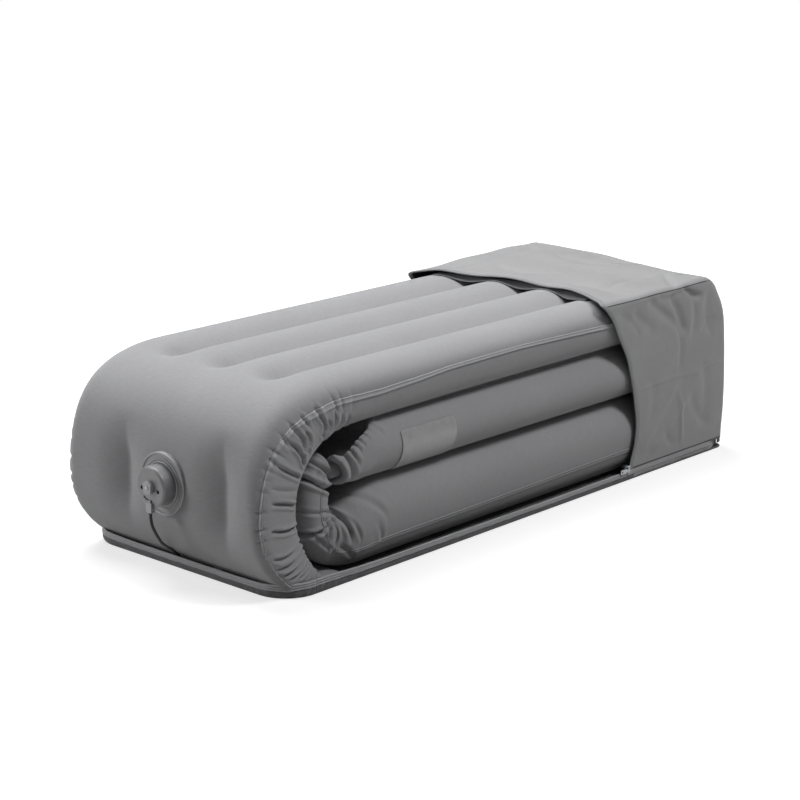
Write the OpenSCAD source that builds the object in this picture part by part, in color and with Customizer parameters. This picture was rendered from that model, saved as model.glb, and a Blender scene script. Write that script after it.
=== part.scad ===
// Inflatable sleeping pad, inflated, folded into a bundle and held in its
// zip cover. The cover is opened: its low base tray lies flat, and the far
// end is still hooded. Millimetres, +Z up. The origin is the middle of the
// underside of the cover's base; the valve end is -X, the hood is at +X.

/* [Pad bundle] */
// Width of the folded bundle across its side bulges
pad_w = 340; // [300:5:400]
// Thickness of the top run of tubes
top_t = 66; // [55:1:75]
// Thickness of the middle run
mid_t = 78; // [68:1:90]
// Height of the top of the lower run above the ground
low_top = 105; // [95:1:118]
// Gap between the bundle and the cloth under it
bed_gap = 0.6; // [0.4:0.1:0.9]
// Number of air channels across the top run
channels = 4; // [3:1:6]
// Depth of the welded valleys between channels
channel_depth = 12; // [4:1:16]
// How far the valve end bulges out past the cover's base
nose_overhang = 38; // [25:1:50]
// Height of the outer bend's widest point
nose_z = 140; // [135:1:145]
// Radius of the outer bend's lower flank
flank_r = 190; // [185:1:200]
// Clearance between the rear fold and the cover's end
rear_gap = 6; // [3:1:12]

/* [Cover] */
// Length of the cover's base
cover_l = 882; // [800:10:1100]
// Clearance at each side between bundle and cover
side_gap = 4.4; // [3.8:0.1:8]
// Thickness of the cover's cloth walls
wall = 1.6; // [1.2:0.1:2]
// Corner radius of the base at the valve end
valve_corner_r = 45; // [35:1:50]
// Corner radius at the hooded end
hood_corner_r = 18; // [12:1:24]
// Height of the top of the tray's cloth rim
rim_top = 8; // [7:0.5:9]
// Height of the middle of the zip
zip_z = 16; // [15:0.5:18]
// Width of one bead of the zip's coil
coil_w = 1.6; // [1.2:0.1:2]
// Headroom between the pad's crest and the hood
head_gap = 2.2; // [1.8:0.1:5]
// How far back the hood's mouth lies from the middle at the centre
mouth_x = 190; // [150:5:230]
// Width of the bound hem round the mouth
hem_w = 8; // [5:1:12]
// Length of the lid folded in under the hood
fold_l = 70; // [40:5:100]

/* [Zip slider] */
// Length of the slider's plates
slider_l = 12; // [10:1:16]
// Height of the slider's plates
slider_h = 11; // [10:0.5:13]
// Thickness of each slider plate
plate_t = 1.1; // [0.9:0.1:1.2]
// Length of the pull tab
pull_l = 17; // [12:1:24]

/* [Valve] */
// Distance of the valve from the middle, across the pad
valve_y = -11; // [-20:1:20]
// Height of the valve's axis
valve_z = 119.5; // [110:0.5:125]
// Diameter of the welded flange
flange_d = 76; // [72:1:82]
// Outer diameter of the cap
cap_d = 49.5; // [48:0.5:54]
// How far the cap's face stands out from the flange
cap_out = 18.5; // [17:0.5:22]
// Bore radius of the valve's housing
throat_r = 18.7; // [18:0.1:19]
// Diameter of the two vents in the face
vent_d = 5; // [4:0.5:5.5]
// Travel of the check flap
flap_travel = 3; // [2:0.5:4]
// Half height of the turn knob
knob_h = 7.8; // [7:0.1:9]
// How far the knob stands proud of the face
knob_out = 5; // [4:0.5:7]

/* [Retaining cord] */
// Diameter of the cord
cord_d = 3.8; // [3:0.1:3.9]
// Width of the clip
clip_w = 9; // [7:0.5:11]

/* [Label] */
// Length of the bare patch on the middle run
label_l = 98; // [60:1:120]
// Height of the patch
label_h = 54; // [40:1:60]

/* [Hidden] */

$fn = 64;
eps = 0.01;

// Heights of the runs
bed_z = wall + bed_gap;
mid_top = low_top + mid_t;
pad_top = mid_top + top_t;
tube_r = top_t / 2;

// Plan of the cover
cover_w = pad_w + 2 * side_gap + 2 * wall;
half_l = cover_l / 2;
half_w = cover_w / 2;
hood_in = pad_top + head_gap;
hood_out = hood_in + wall;
split_x = -half_l + valve_corner_r;
end_x = half_l - hood_corner_r;

// Outer bend: two arcs that share a vertical tangent at the nose
nose_x = -half_l - nose_overhang;
crown_r = pad_top - nose_z;
crown_x = nose_x + crown_r;
flank_x = nose_x + flank_r;
flank_end = asin((nose_z - bed_z) / flank_r);
bend_in_r = flank_r - top_t;

// Rear fold of the top run onto the middle run
rear_r = (pad_top - low_top) / 2;
rear_x = half_l - wall - rear_gap - rear_r;

// Left ends of the middle and lower runs
mid_x0 = crown_x + 43;
low_x0 = mid_x0 + 12;
low_x1 = half_l - wall - rear_gap - 8;
crease = 0.4;

// Zip
zip_gap = 2;
tape_z0 = rim_top;
tape_z1 = zip_z - zip_gap / 2;
hood_z0 = zip_z + zip_gap / 2;
coil_t = 0.6;
slider_x = mouth_x + 10;
slider_run = end_x - slider_x - slider_l - 4;
chain_x1 = slider_x + slider_l + slider_run + 1;
plate_gap = 0.3;

// Valve, measured along its axis from the nose of the bend, outward positive
seat_depth = 5;
flange_t = 2.2;
face_out = flange_t + cap_out;
face_t = 2.4;
cap_lip = flange_t + 0.6;
skirt_r = throat_r - 0.2;
skirt_in = throat_r - 1.5;
house_r = throat_r + 2;
house_in = 25;
house_out = face_out - face_t - 2.6;
seat_t = 2.5;
seat_at = -house_in + 3;
stem_r = 2;
run_gap = 0.05;
vent_r = 14.3;
vent_drop = 12;
knob_w = 6.6;
shutter_t = 1.2;
slot_r = 16.7;
slot_turn = 30;

// Retaining cord: hand-laid route from the clip down behind the rim
cord_pts = [
    [-499.5, -11, 89], [-499.5, -11, 82], [-498, -11, 73], [-493, -10, 63],
    [-485, -6, 53], [-474, 0, 42], [-461, 8, 33], [-450, 14, 26],
    [-441, 17, 20], [-436, 15, 14], [-435, 8, 9], [-434, -2, 7],
    [-434, -14, 6], [-434, -28, 6], [-434, -40, 6]
];

// ---- shared outlines -------------------------------------------------

// Points on an arc about c, from angle a0 to a1
function arc(c, r, a0, a1, n = 10) =
    [for (i = [0:n]) let (a = a0 + (a1 - a0) * i / n) c + r * [cos(a), sin(a)]];

// Plan outline of the cover, drawn in by the given inset
function plan(inset) =
    concat(
        arc([end_x, -half_w + hood_corner_r], hood_corner_r - inset, -90, 0),
        arc([end_x, half_w - hood_corner_r], hood_corner_r - inset, 0, 90),
        arc([split_x, half_w - valve_corner_r], valve_corner_r - inset, 90, 180),
        arc([split_x, -half_w + valve_corner_r], valve_corner_r - inset, 180, 270));

// Upright wall that follows the cover's plan, between two heights
module plan_wall(z0, z1, out = 0, t = wall) {
    translate([0, 0, z0]) linear_extrude(z1 - z0) difference() {
        polygon(plan(-out));
        polygon(plan(-out + t));
    }
}

// Blocks that cut a wall into its near, far, valve-end and hood-end pieces
module near_zone(x0, x1) {
    translate([x0, -cover_w, -1]) cube([x1 - x0, cover_w, 2 * pad_top]);
}
module far_zone(x0, x1) {
    translate([x0, 0, -1]) cube([x1 - x0, cover_w, 2 * pad_top]);
}
module end_zone(x0, x1) {
    translate([x0, -cover_w, -1]) cube([x1 - x0, 2 * cover_w, 2 * pad_top]);
}

// Turns a drawing whose x is across and y is up so that it runs along +X
module along_x(x0, x1) {
    translate([x0, 0, 0]) rotate([90, 0, 90]) linear_extrude(x1 - x0) children();
}

// Turns a drawing whose x is +X and y is up so that it runs along Y
module along_y(y0, y1) {
    translate([0, y1, 0]) rotate([90, 0, 0]) linear_extrude(y1 - y0) children();
}

// Cross-section of a run: flat top and bottom, round sides
module run_section(z0, z1) {
    r = (z1 - z0) / 2;
    translate([-pad_w / 2 + r, z0]) square([pad_w - 2 * r, z1 - z0]);
    for (s = [-1, 1]) translate([s * (pad_w / 2 - r), z0 + r]) circle(r);
}

// Valley profile over the flat of the top run, one crown for each channel
module channel_valleys() {
    flat = pad_w - 2 * tube_r;
    pitch = pad_w / channels;
    for (i = [1:channels - 1]) {
        y = -pad_w / 2 + i * pitch;
        polygon(concat(
            [[y - pitch / 2, pad_top + 1], [y - pitch / 2, pad_top]],
            [for (k = [1:7]) [y - pitch / 2 + pitch / 2 * k / 8, pad_top - channel_depth * pow(k / 8, 2)]],
            [[y, pad_top - channel_depth]],
            [for (k = [7:-1:1]) [y + pitch / 2 - pitch / 2 * k / 8, pad_top - channel_depth * pow(k / 8, 2)]],
            [[y + pitch / 2, pad_top], [y + pitch / 2, pad_top + 1]]));
    }
}

// Tube section swept round a bend about an axis along Y
module swept_bend(cx, cz, r_out, a0, sweep) {
    translate([cx, 0, cz]) rotate([90, 0, 0]) rotate([0, 0, a0])
        rotate_extrude(angle = sweep, $fn = 96) {
            translate([r_out - top_t, -pad_w / 2 + tube_r]) square([top_t, pad_w - top_t]);
            for (s = [-1, 1]) translate([r_out - tube_r, s * (pad_w / 2 - tube_r)]) circle(tube_r);
        }
}

// ---- pad ---------------------------------------------------------------

module pad_top_run() {
    color([0.50, 0.50, 0.51]) along_x(crown_x, rear_x) difference() {
        run_section(mid_top, pad_top);
        channel_valleys();
    }
}

module pad_outer_bend() {
    color([0.47, 0.47, 0.48]) difference() {
        union() {
            swept_bend(crown_x, nose_z, crown_r, 90, 90);
            swept_bend(flank_x, nose_z, flank_r, 180, flank_end);
        }
        valve_axis() {
            translate([0, 0, -seat_depth]) cylinder(d = flange_d, h = 30);
            translate([0, 0, -seat_depth - 3]) cylinder(r = house_r + 10, h = 20);
            translate([0, 0, -house_in - 12]) cylinder(r = house_r, h = 40);
        }
    }
}

module pad_tail() {
    color([0.42, 0.42, 0.43]) along_y(-pad_w / 2 + 4, pad_w / 2 - 4) difference() {
        polygon([
            [flank_x - flank_r * cos(flank_end), bed_z],
            [flank_x - bend_in_r * cos(flank_end), nose_z - bend_in_r * sin(flank_end)],
            [mid_x0, bed_z + 30], [mid_x0 + 8, bed_z]]);
        translate([flank_x, nose_z]) circle(bend_in_r, $fn = 96);
    }
}

module pad_rear_bend() {
    color([0.45, 0.45, 0.46]) along_y(-pad_w / 2 + 6, pad_w / 2 - 6) intersection() {
        translate([rear_x, low_top + rear_r]) circle(rear_r);
        translate([rear_x, low_top]) square([rear_r + 1, 2 * rear_r]);
    }
}

module pad_middle_run() {
    color([0.44, 0.44, 0.45]) along_x(mid_x0, rear_x) run_section(low_top, mid_top);
}

module pad_inner_bend() {
    color([0.40, 0.40, 0.41]) along_y(-pad_w / 2 + 2, pad_w / 2 - 2) intersection() {
        union() {
            translate([crown_x, nose_z]) circle(crown_r - top_t - crease);
            translate([crown_x, bed_z]) square([mid_x0 - crown_x, mid_top - crease - bed_z]);
            translate([crown_x - 60, bed_z]) square([60 + eps, nose_z - bed_z]);
        }
        union() {
            translate([flank_x, nose_z]) circle(bend_in_r - crease, $fn = 96);
            translate([flank_x - flank_r, nose_z]) square([flank_r, crown_r]);
        }
        translate([crown_x - 60, bed_z]) square([60 + mid_x0 - crown_x, pad_top]);
    }
}

module pad_lower_run() {
    color([0.44, 0.44, 0.45]) along_x(low_x0, low_x1) run_section(bed_z, low_top);
}

module label_patch() {
    mid_r = mid_t / 2;
    label_x = mid_x0 + 89;
    label_z = low_top + 4;
    corner = 6;
    color([0.55, 0.55, 0.56]) intersection() {
        along_x(label_x, label_x + label_l) translate([-pad_w / 2 + mid_r, low_top + mid_r])
            difference() {
                circle(mid_r + 0.65);
                circle(mid_r + 0.05);
            }
        along_y(-pad_w / 2 - 1, -pad_w / 2 + mid_r) {
            translate([label_x + corner, label_z]) square([label_l - 2 * corner, label_h]);
            translate([label_x, label_z + corner]) square([label_l, label_h - 2 * corner]);
            for (x = [corner, label_l - corner], z = [corner, label_h - corner])
                translate([label_x + x, label_z + z]) circle(corner);
        }
    }
}

// ---- valve -------------------------------------------------------------

// Frame of the valve: +Z outward from the nose of the bend, +Y up
module valve_axis() {
    translate([nose_x, valve_y, valve_z]) rotate([0, -90, 0]) rotate([0, 0, -90]) children();
}

// Solid of revolution between two radii and two stations on the valve's axis
module ring(r0, r1, z0, z1) {
    rotate_extrude() translate([r0, z0]) square([r1 - r0, z1 - z0]);
}

module valve_flange() {
    color([0.46, 0.46, 0.47]) valve_axis() {
        ring(house_r, flange_d / 2, -seat_depth, flange_t - 1);
        ring(flange_d / 2 - 2.4, flange_d / 2, flange_t - 1 - eps, flange_t);
        ring(flange_d / 2 - 9, flange_d / 2 - 6.5, flange_t - 1 - eps, flange_t - 0.3);
        ring(house_r, cap_d / 2 + 1.5, flange_t - 1 - eps, flange_t);
    }
}

module valve_backing_ring() {
    color([0.40, 0.40, 0.41]) valve_axis() ring(house_r, house_r + 10, -seat_depth - 3, -seat_depth);
}

module valve_housing() {
    color([0.42, 0.42, 0.43]) valve_axis() difference() {
        ring(throat_r, house_r, -house_in, house_out);
        for (a = [0, 180]) rotate([0, 0, a + 60]) translate([house_r, 0, house_out - 6])
            cylinder(r = 1.2, h = 3);
    }
}

module valve_seat() {
    color([0.35, 0.35, 0.36]) valve_axis() difference() {
        translate([0, 0, seat_at]) cylinder(r = throat_r, h = seat_t);
        translate([0, 0, seat_at - 1]) cylinder(r = stem_r + run_gap, h = seat_t + 2);
        for (i = [0:3]) rotate([0, 0, 90 * i + 45]) translate([10, 0, seat_at - 1])
            cylinder(d = 6.5, h = seat_t + 2);
    }
}

module flap_spring() {
    color([0.75, 0.75, 0.76]) valve_axis() ring(stem_r + 0.6, stem_r + 2, seat_at + seat_t, seat_at + seat_t + 6);
}

module valve_flap() {
    color([0.2, 0.2, 0.2]) valve_axis() ring(stem_r, 14.5, seat_at - 1.5, seat_at - 0.2);
}

module flap_stem() {
    color([0.3, 0.3, 0.3]) valve_axis() {
        translate([0, 0, seat_at - 1.5]) cylinder(r = stem_r, h = seat_t + 7.8);
        translate([0, 0, seat_at + seat_t + 6.3]) cylinder(r = stem_r + 2.2, h = 1.4);
    }
}

module valve_cap() {
    color([0.55, 0.55, 0.56]) valve_axis() difference() {
        union() {
            rotate_extrude() {
                difference() {
                    union() {
                        translate([0, cap_lip]) square([cap_d / 2, face_out - 3 - cap_lip]);
                        translate([0, cap_lip]) square([cap_d / 2 - 3, face_out - cap_lip]);
                        translate([cap_d / 2 - 3, face_out - 3]) circle(3);
                    }
                    translate([-1, -1]) square([cap_d / 2 - 1.2, face_out - face_t + 1]);
                }
            }
            ring(skirt_in, skirt_r, -2, face_out - face_t + eps);
        }
        rotate_extrude() translate([skirt_r, 1.5]) circle(0.75);
        translate([0, 0, face_out - face_t - 1]) cylinder(r = stem_r + run_gap, h = face_t + 2);
        for (a = [-vent_drop, 180 + vent_drop]) rotate([0, 0, a]) translate([vent_r, 0, face_out - face_t - 1])
            cylinder(d = vent_d, h = face_t + 2);
        translate([0, 0, face_out - 1.6]) linear_extrude(2) difference() {
            circle(slot_r + 1.1);
            circle(slot_r - 1.1);
            slot_mask();
        }
    }
}

// Everything outside the clip's arc slot, which spans the cap's turn
module slot_mask() {
    a0 = -90 - 11 - slot_turn;
    a1 = -90 + 11;
    polygon(concat([[0, 0]], arc([0, 0], 40, a1, a0 + 360, 24)));
}

module cap_seal() {
    color([0.12, 0.12, 0.12]) valve_axis() rotate_extrude() translate([skirt_r, 1.5])
        difference() {
            circle(0.7, $fn = 24);
            translate([0.12, -1]) square([2, 2]);
        }
}

module valve_knob() {
    color([0.58, 0.58, 0.59]) valve_axis() translate([0, 0, face_out + 0.3]) difference() {
        union() {
            intersection() {
                cylinder(r = knob_h, h = knob_out - 0.3);
                translate([-knob_w, -knob_h, 0]) cube([2 * knob_w, 2 * knob_h, knob_out]);
            }
            cylinder(r = 3.4, h = knob_out + 0.1);
        }
        translate([0, 0, -1]) cylinder(r = stem_r, h = knob_out + 2);
    }
}

module knob_stem() {
    color([0.8, 0.8, 0.8]) valve_axis() {
        translate([0, 0, face_out - face_t - 0.3 - shutter_t]) cylinder(r = stem_r, h = face_t + 0.6 + shutter_t + knob_out);
    }
}

module valve_shutter() {
    color([0.25, 0.25, 0.25]) valve_axis() translate([0, 0, face_out - face_t - 0.3 - shutter_t])
        linear_extrude(shutter_t) difference() {
            intersection() {
                circle(skirt_in - 0.2);
                translate([-skirt_in, -vent_d - 2]) square([2 * skirt_in, 2 * vent_d + 2]);
            }
            circle(stem_r);
        }
}

// ---- retaining cord ------------------------------------------------------

module tether_clip() {
    front = face_out + 0.5;
    clip_t = 2.4;
    heel_t = 3.5;
    hook_w = 4;
    top = -slot_r - 1.6;
    foot = cord_pts[0][2] - valve_z;
    heel_h = -cap_d / 2 - 0.35 - foot;
    color([0.52, 0.52, 0.53]) valve_axis() {
        translate([-clip_w / 2, foot, front]) cube([clip_w, top - foot, clip_t]);
        translate([-clip_w / 2, foot, front - heel_t]) cube([clip_w, heel_h, heel_t + eps]);
        translate([-hook_w / 2, top - eps, front]) cube([hook_w, -slot_r + 0.7 - top, 1.4]);
        translate([-hook_w / 2, -slot_r - 0.7, front - 1.6]) cube([hook_w, 1.4, 1.6 + eps]);
    }
}

// Frame of ring i of the cord: side and up vectors square to the route
function unit(v) = v / norm(v);
function heading(p, i) = unit(p[min(i + 1, len(p) - 1)] - p[max(i - 1, 0)]);
function side(t) = unit(cross(t, abs(t[2]) > 0.9 ? [0, 1, 0] : [0, 0, 1]));
// Catmull-Rom point between p[i] and p[i + 1]
function through(p, i, u) =
    let (a = p[max(i - 1, 0)], b = p[i], c = p[i + 1], d = p[min(i + 2, len(p) - 1)])
    b + 0.5 * u * (c - a) + u * u * (a - 2.5 * b + 2 * c - 0.5 * d)
        + u * u * u * (-0.5 * a + 1.5 * b - 1.5 * c + 0.5 * d);
function smooth(p, n) = concat([for (i = [0:len(p) - 2], k = [0:n - 1]) through(p, i, k / n)], [p[len(p) - 1]]);
// Normal carried from ring to ring so that the tube never twists
function carried(p, i, v) = let (t = heading(p, i)) unit(v - (v * t) * t);
function frames(p, i = 0, v = [0, 1, 0], out = []) =
    i == len(p) ? out : let (n = carried(p, i, v)) frames(p, i + 1, n, concat(out, [n]));

module tube(route, d, sides = 8) {
    normals = frames(route);
    rings = [for (i = [0:len(route) - 1]) let (t = heading(route, i), n = normals[i], b = cross(t, n))
        for (k = [0:sides - 1]) route[i] + d / 2 * (cos(360 * k / sides) * n + sin(360 * k / sides) * b)];
    last = len(route) - 1;
    faces = concat(
        [[for (k = [0:sides - 1]) k]],
        [for (i = [0:last - 1], k = [0:sides - 1]) let (j = (k + 1) % sides)
            [i * sides + k, (i + 1) * sides + k, (i + 1) * sides + j, i * sides + j]],
        [[for (k = [sides - 1:-1:0]) last * sides + k]]);
    polyhedron(rings, faces, convexity = 6);
}

module tether_cord() {
    color([0.06, 0.06, 0.06]) tube(smooth(cord_pts, 2), cord_d);
}

// Where the skin of the outer bend's lower flank lies at a height
function skin_x(z) = flank_x - sqrt(pow(flank_r, 2) - pow(nose_z - z, 2));

module tether_anchor() {
    stop = cord_pts[len(cord_pts) - 1];
    tab_l = 12;
    tab_h = 6.5;
    tab_d = 9.2;
    color([0.3, 0.3, 0.3])
        translate([skin_x(bed_z + 0.2 + tab_h) - 0.3 - tab_d, stop[1] - tab_l, bed_z + 0.2])
            cube([tab_d, tab_l, tab_h]);
}

// ---- cover -----------------------------------------------------------------

module cover_base() {
    color([0.30, 0.30, 0.31]) linear_extrude(wall) polygon(plan(0));
}

module rim_near() {
    color([0.28, 0.28, 0.29]) intersection() {
        plan_wall(wall, rim_top);
        near_zone(split_x, end_x);
    }
}

module rim_far() {
    color([0.28, 0.28, 0.29]) intersection() {
        plan_wall(wall, rim_top);
        far_zone(split_x, end_x);
    }
}

module rim_hood_end() {
    color([0.28, 0.28, 0.29]) intersection() {
        plan_wall(wall, rim_top);
        end_zone(end_x, half_l + 1);
    }
}

module rim_valve_end() {
    color([0.28, 0.28, 0.29]) intersection() {
        plan_wall(wall, rim_top);
        end_zone(-half_l - 1, split_x);
    }
}

// Lower half of the zip: woven tape with the coil's bead along its top edge
module half_tape() {
    plan_wall(tape_z0, tape_z1);
    plan_wall(tape_z1 - coil_w, tape_z1, coil_t, wall + 2 * coil_t);
}

module zip_tape_near() {
    color([0.40, 0.40, 0.41]) intersection() {
        half_tape();
        near_zone(split_x, end_x);
    }
}

module zip_tape_far() {
    color([0.40, 0.40, 0.41]) intersection() {
        half_tape();
        far_zone(split_x, end_x);
    }
}

module zip_tape_valve_end() {
    color([0.40, 0.40, 0.41]) intersection() {
        half_tape();
        end_zone(-half_l - 2, split_x);
    }
}

// Meshed coils that close the gap between the tray and the hood
module zip_chain_near() {
    color([0.2, 0.2, 0.2]) intersection() {
        plan_wall(tape_z1, hood_z0, coil_t, wall + 2 * coil_t);
        near_zone(slider_x + slider_l + 0.3, end_x);
    }
}

module zip_chain_far() {
    color([0.2, 0.2, 0.2]) intersection() {
        plan_wall(tape_z1, hood_z0, coil_t, wall + 2 * coil_t);
        far_zone(slider_x + slider_l + 0.3, end_x);
    }
}

module zip_chain_hood_end() {
    color([0.2, 0.2, 0.2]) {
        intersection() {
            plan_wall(tape_z1, hood_z0, coil_t, wall + 2 * coil_t);
            end_zone(end_x, half_l + 2);
        }
        intersection() {
            plan_wall(rim_top, tape_z1);
            end_zone(end_x, half_l + 2);
        }
    }
}

// Mouth of the hood seen from above: x of the edge at each place across
hem_t = 0.9;
mouth_top = [
    [mouth_x - 46, -half_w - hem_t], [mouth_x - 18, -half_w + 48], [mouth_x, -half_w + 105],
    [mouth_x + 2, -half_w + 165], [mouth_x - 4, -half_w + 230], [mouth_x - 30, half_w - 62],
    [mouth_x - 52, half_w + hem_t]
];
// Mouth seen from the side: x of the edge at each height
function mouth_side(x_top) = [
    [x_top, hood_out], [x_top + 26, 230], [x_top + 53, 175], [x_top + 72, 120],
    [x_top + 77, 80], [x_top + 74, 45], [x_top + 64, hood_z0]
];
module mouth_area(points, far_x) {
    polygon(concat(points, [[far_x, points[len(points) - 1][1]], [far_x, points[0][1]]]));
}

module hood_top() {
    color([0.48, 0.48, 0.49]) translate([0, 0, hood_in]) linear_extrude(wall) intersection() {
        polygon(plan(0));
        mouth_area(mouth_top, half_l + 1);
    }
}

module hood_wall() {
    plan_wall(hood_z0, hood_in);
}

module hood_near_panel() {
    color([0.44, 0.44, 0.45]) intersection() {
        hood_wall();
        near_zone(0, end_x);
        along_y(-cover_w, 0) mouth_area(mouth_side(mouth_top[0][0]), half_l);
    }
}

module hood_far_panel() {
    color([0.44, 0.44, 0.45]) intersection() {
        hood_wall();
        far_zone(0, end_x);
        along_y(0, cover_w) mouth_area(mouth_side(mouth_top[6][0]), half_l);
    }
}

module hood_end_panel() {
    color([0.42, 0.42, 0.43]) intersection() {
        hood_wall();
        end_zone(end_x, half_l + 1);
    }
}

// Bound hem: a doubled band that follows the mouth over the top and down both sides
module hem_band(points, width) {
    back = [for (i = [len(points) - 1:-1:0]) points[i] + [width, 0]];
    polygon(concat(points, back));
}

module hood_hem() {
    color([0.40, 0.40, 0.41]) {
        translate([0, 0, hood_out]) linear_extrude(hem_t) hem_band(mouth_top, hem_w);
        for (s = [0, 1]) mirror([0, s, 0]) along_y(-half_w - hem_t, -half_w)
            hem_band([for (q = mouth_side(mouth_top[6 * s][0])) [q[0], max(q[1], slider_zone)]], hem_w);
    }
}
slider_zone = zip_z + slider_h / 2 + 0.6;

module hood_folded_lid() {
    color([0.25, 0.25, 0.26]) translate([0, 0, hood_in - 1]) linear_extrude(1) intersection() {
        polygon(plan(wall));
        hem_band(mouth_top, fold_l);
    }
}

// ---- zip sliders -------------------------------------------------------------

// Two plates that straddle the chain, a post between the parted coils, and a bail
module slider_body() {
    out_y = -half_w - coil_t - plate_gap;
    in_y = -half_w + wall + coil_t + plate_gap;
    z0 = zip_z - slider_h / 2;
    difference() {
        union() {
            translate([slider_x, out_y - plate_t, z0]) cube([slider_l, plate_t, slider_h]);
            translate([slider_x, in_y, z0]) cube([slider_l, plate_t, slider_h]);
            translate([slider_x + 1, out_y - eps, zip_z - 0.6]) cube([3, in_y - out_y + 2 * eps, 1.2]);
            for (z = [zip_z - 3.6, zip_z + 2.4]) translate([slider_x + 3, out_y - plate_t - 3, z])
                cube([4, 3 + eps, 1.2]);
        }
    }
    translate([slider_x + 5, out_y - plate_t - 1.8, zip_z - 3]) cylinder(r = 0.7, h = 6, $fn = 32);
}

// Flat tab with an eye round the bail's pin
module pull_body() {
    pin_y = -half_w - coil_t - plate_gap - plate_t - 1.8;
    translate([slider_x + 5, pin_y, 0]) difference() {
        union() {
            translate([0, 0, zip_z - 2]) cylinder(r = 1.6, h = 4, $fn = 32);
            translate([-4, -0.6, zip_z - 2]) cube([4, 1.2, 4]);
            translate([-pull_l, -0.6, zip_z - 3.2]) cube([pull_l - 4, 1.2, 6.4]);
        }
        translate([0, 0, zip_z - 4]) cylinder(r = 0.75, h = 8, $fn = 32);
        translate([-pull_l + 3.5, 0, zip_z]) rotate([90, 0, 0]) cylinder(r = 1.4, h = 4, center = true, $fn = 32);
    }
}

module slider_near() {
    color([0.62, 0.62, 0.63]) slider_body();
}

module pull_near() {
    color([0.7, 0.7, 0.71]) pull_body();
}

module slider_far() {
    color([0.62, 0.62, 0.63]) mirror([0, 1, 0]) slider_body();
}

module pull_far() {
    color([0.7, 0.7, 0.71]) mirror([0, 1, 0]) pull_body();
}

pad_top_run();
pad_outer_bend();
pad_tail();
pad_rear_bend();
pad_middle_run();
pad_inner_bend();
pad_lower_run();
label_patch();
valve_flange();
valve_backing_ring();
valve_housing();
valve_seat();
flap_spring();
tether_clip();
tether_cord();
tether_anchor();
valve_cap();
cap_seal();
valve_knob();
knob_stem();
valve_shutter();
valve_flap();
flap_stem();
cover_base();
rim_near();
rim_far();
rim_hood_end();
rim_valve_end();
zip_tape_near();
zip_tape_far();
zip_tape_valve_end();
zip_chain_near();
zip_chain_far();
zip_chain_hood_end();
hood_top();
hood_near_panel();
hood_far_panel();
hood_end_panel();
hood_hem();
hood_folded_lid();
slider_near();
pull_near();
slider_far();
pull_far();
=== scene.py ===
import math

import bpy
import numpy as np
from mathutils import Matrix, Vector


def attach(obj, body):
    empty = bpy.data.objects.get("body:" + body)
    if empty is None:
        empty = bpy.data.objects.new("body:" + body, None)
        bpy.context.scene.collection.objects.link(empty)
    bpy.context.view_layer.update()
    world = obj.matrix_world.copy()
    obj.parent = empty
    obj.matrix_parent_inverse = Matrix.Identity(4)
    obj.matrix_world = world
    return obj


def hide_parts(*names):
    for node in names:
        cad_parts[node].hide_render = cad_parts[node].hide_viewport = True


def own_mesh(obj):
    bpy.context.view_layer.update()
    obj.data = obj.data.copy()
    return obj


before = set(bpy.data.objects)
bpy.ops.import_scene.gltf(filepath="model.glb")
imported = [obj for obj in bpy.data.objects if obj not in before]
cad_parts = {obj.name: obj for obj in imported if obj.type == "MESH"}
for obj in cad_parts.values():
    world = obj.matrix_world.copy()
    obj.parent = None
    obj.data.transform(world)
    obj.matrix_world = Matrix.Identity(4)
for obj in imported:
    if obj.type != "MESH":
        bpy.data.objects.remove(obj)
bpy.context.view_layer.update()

# ---------------------------------------------------------------------------------------------------------------
# The camera looks at the valve end and the labelled long side from a little above, with a long lens.
# ---------------------------------------------------------------------------------------------------------------
camera = bpy.data.objects.new("camera", bpy.data.cameras.new("camera"))
bpy.context.scene.collection.objects.link(camera)
camera.location = (-2.0622, -1.8401, 0.8710)
camera.rotation_euler = (math.radians(90 - 15.144), 0, math.radians(42.546 - 90))
camera.data.lens = 96.80
camera.data.sensor_width = 36
camera.data.clip_end = 50
bpy.context.scene.camera = camera


# ---------------------------------------------------------------------------------------------------------------
# Retaining cord: a soft black braided cord, 3.8 mm thick, crimped in the clip on the cap. It hangs down the end of
# the pad, turns under its curve and is held by a welded tab between the pad and the rim of the cover.
# ---------------------------------------------------------------------------------------------------------------
cord_diameter = 0.0038
cord_points = np.array([
    (-0.4995, -0.011, 0.089), (-0.4995, -0.011, 0.082), (-0.498, -0.011, 0.073), (-0.493, -0.010, 0.063),
    (-0.485, -0.006, 0.053), (-0.474, 0.000, 0.042), (-0.461, 0.008, 0.033), (-0.450, 0.014, 0.026),
    (-0.441, 0.017, 0.020), (-0.436, 0.015, 0.014), (-0.435, 0.008, 0.009), (-0.434, -0.002, 0.007),
    (-0.434, -0.014, 0.006), (-0.434, -0.028, 0.006), (-0.434, -0.040, 0.006)])


def smooth_line(points, steps):
    """A curve through the points: each span is a cubic whose slopes at its ends are those of the chord between
    the two neighbouring points. Columns past the third are carried along in the same way."""
    before = np.vstack([2 * points[:1] - points[1:2], points[:-1]])
    after = np.vstack([points[1:], 2 * points[-1:] - points[-2:-1]])
    slope = (after - before) / 2
    u = np.linspace(0, 1, steps, endpoint=False)[None, :, None]
    p, q, m, n = (a[:, None, :] for a in (points[:-1], points[1:], slope[:-1], slope[1:]))
    spans = (2 * u**3 - 3 * u**2 + 1) * p + (u**3 - 2 * u**2 + u) * m + (3 * u**2 - 2 * u**3) * q + (u**3 - u**2) * n
    return np.vstack([spans.reshape(-1, points.shape[1]), points[-1:]])


def unit(v):
    """Each vector over its length."""
    return v / np.maximum(np.linalg.norm(v, axis=-1, keepdims=True), 1e-12)


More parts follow.
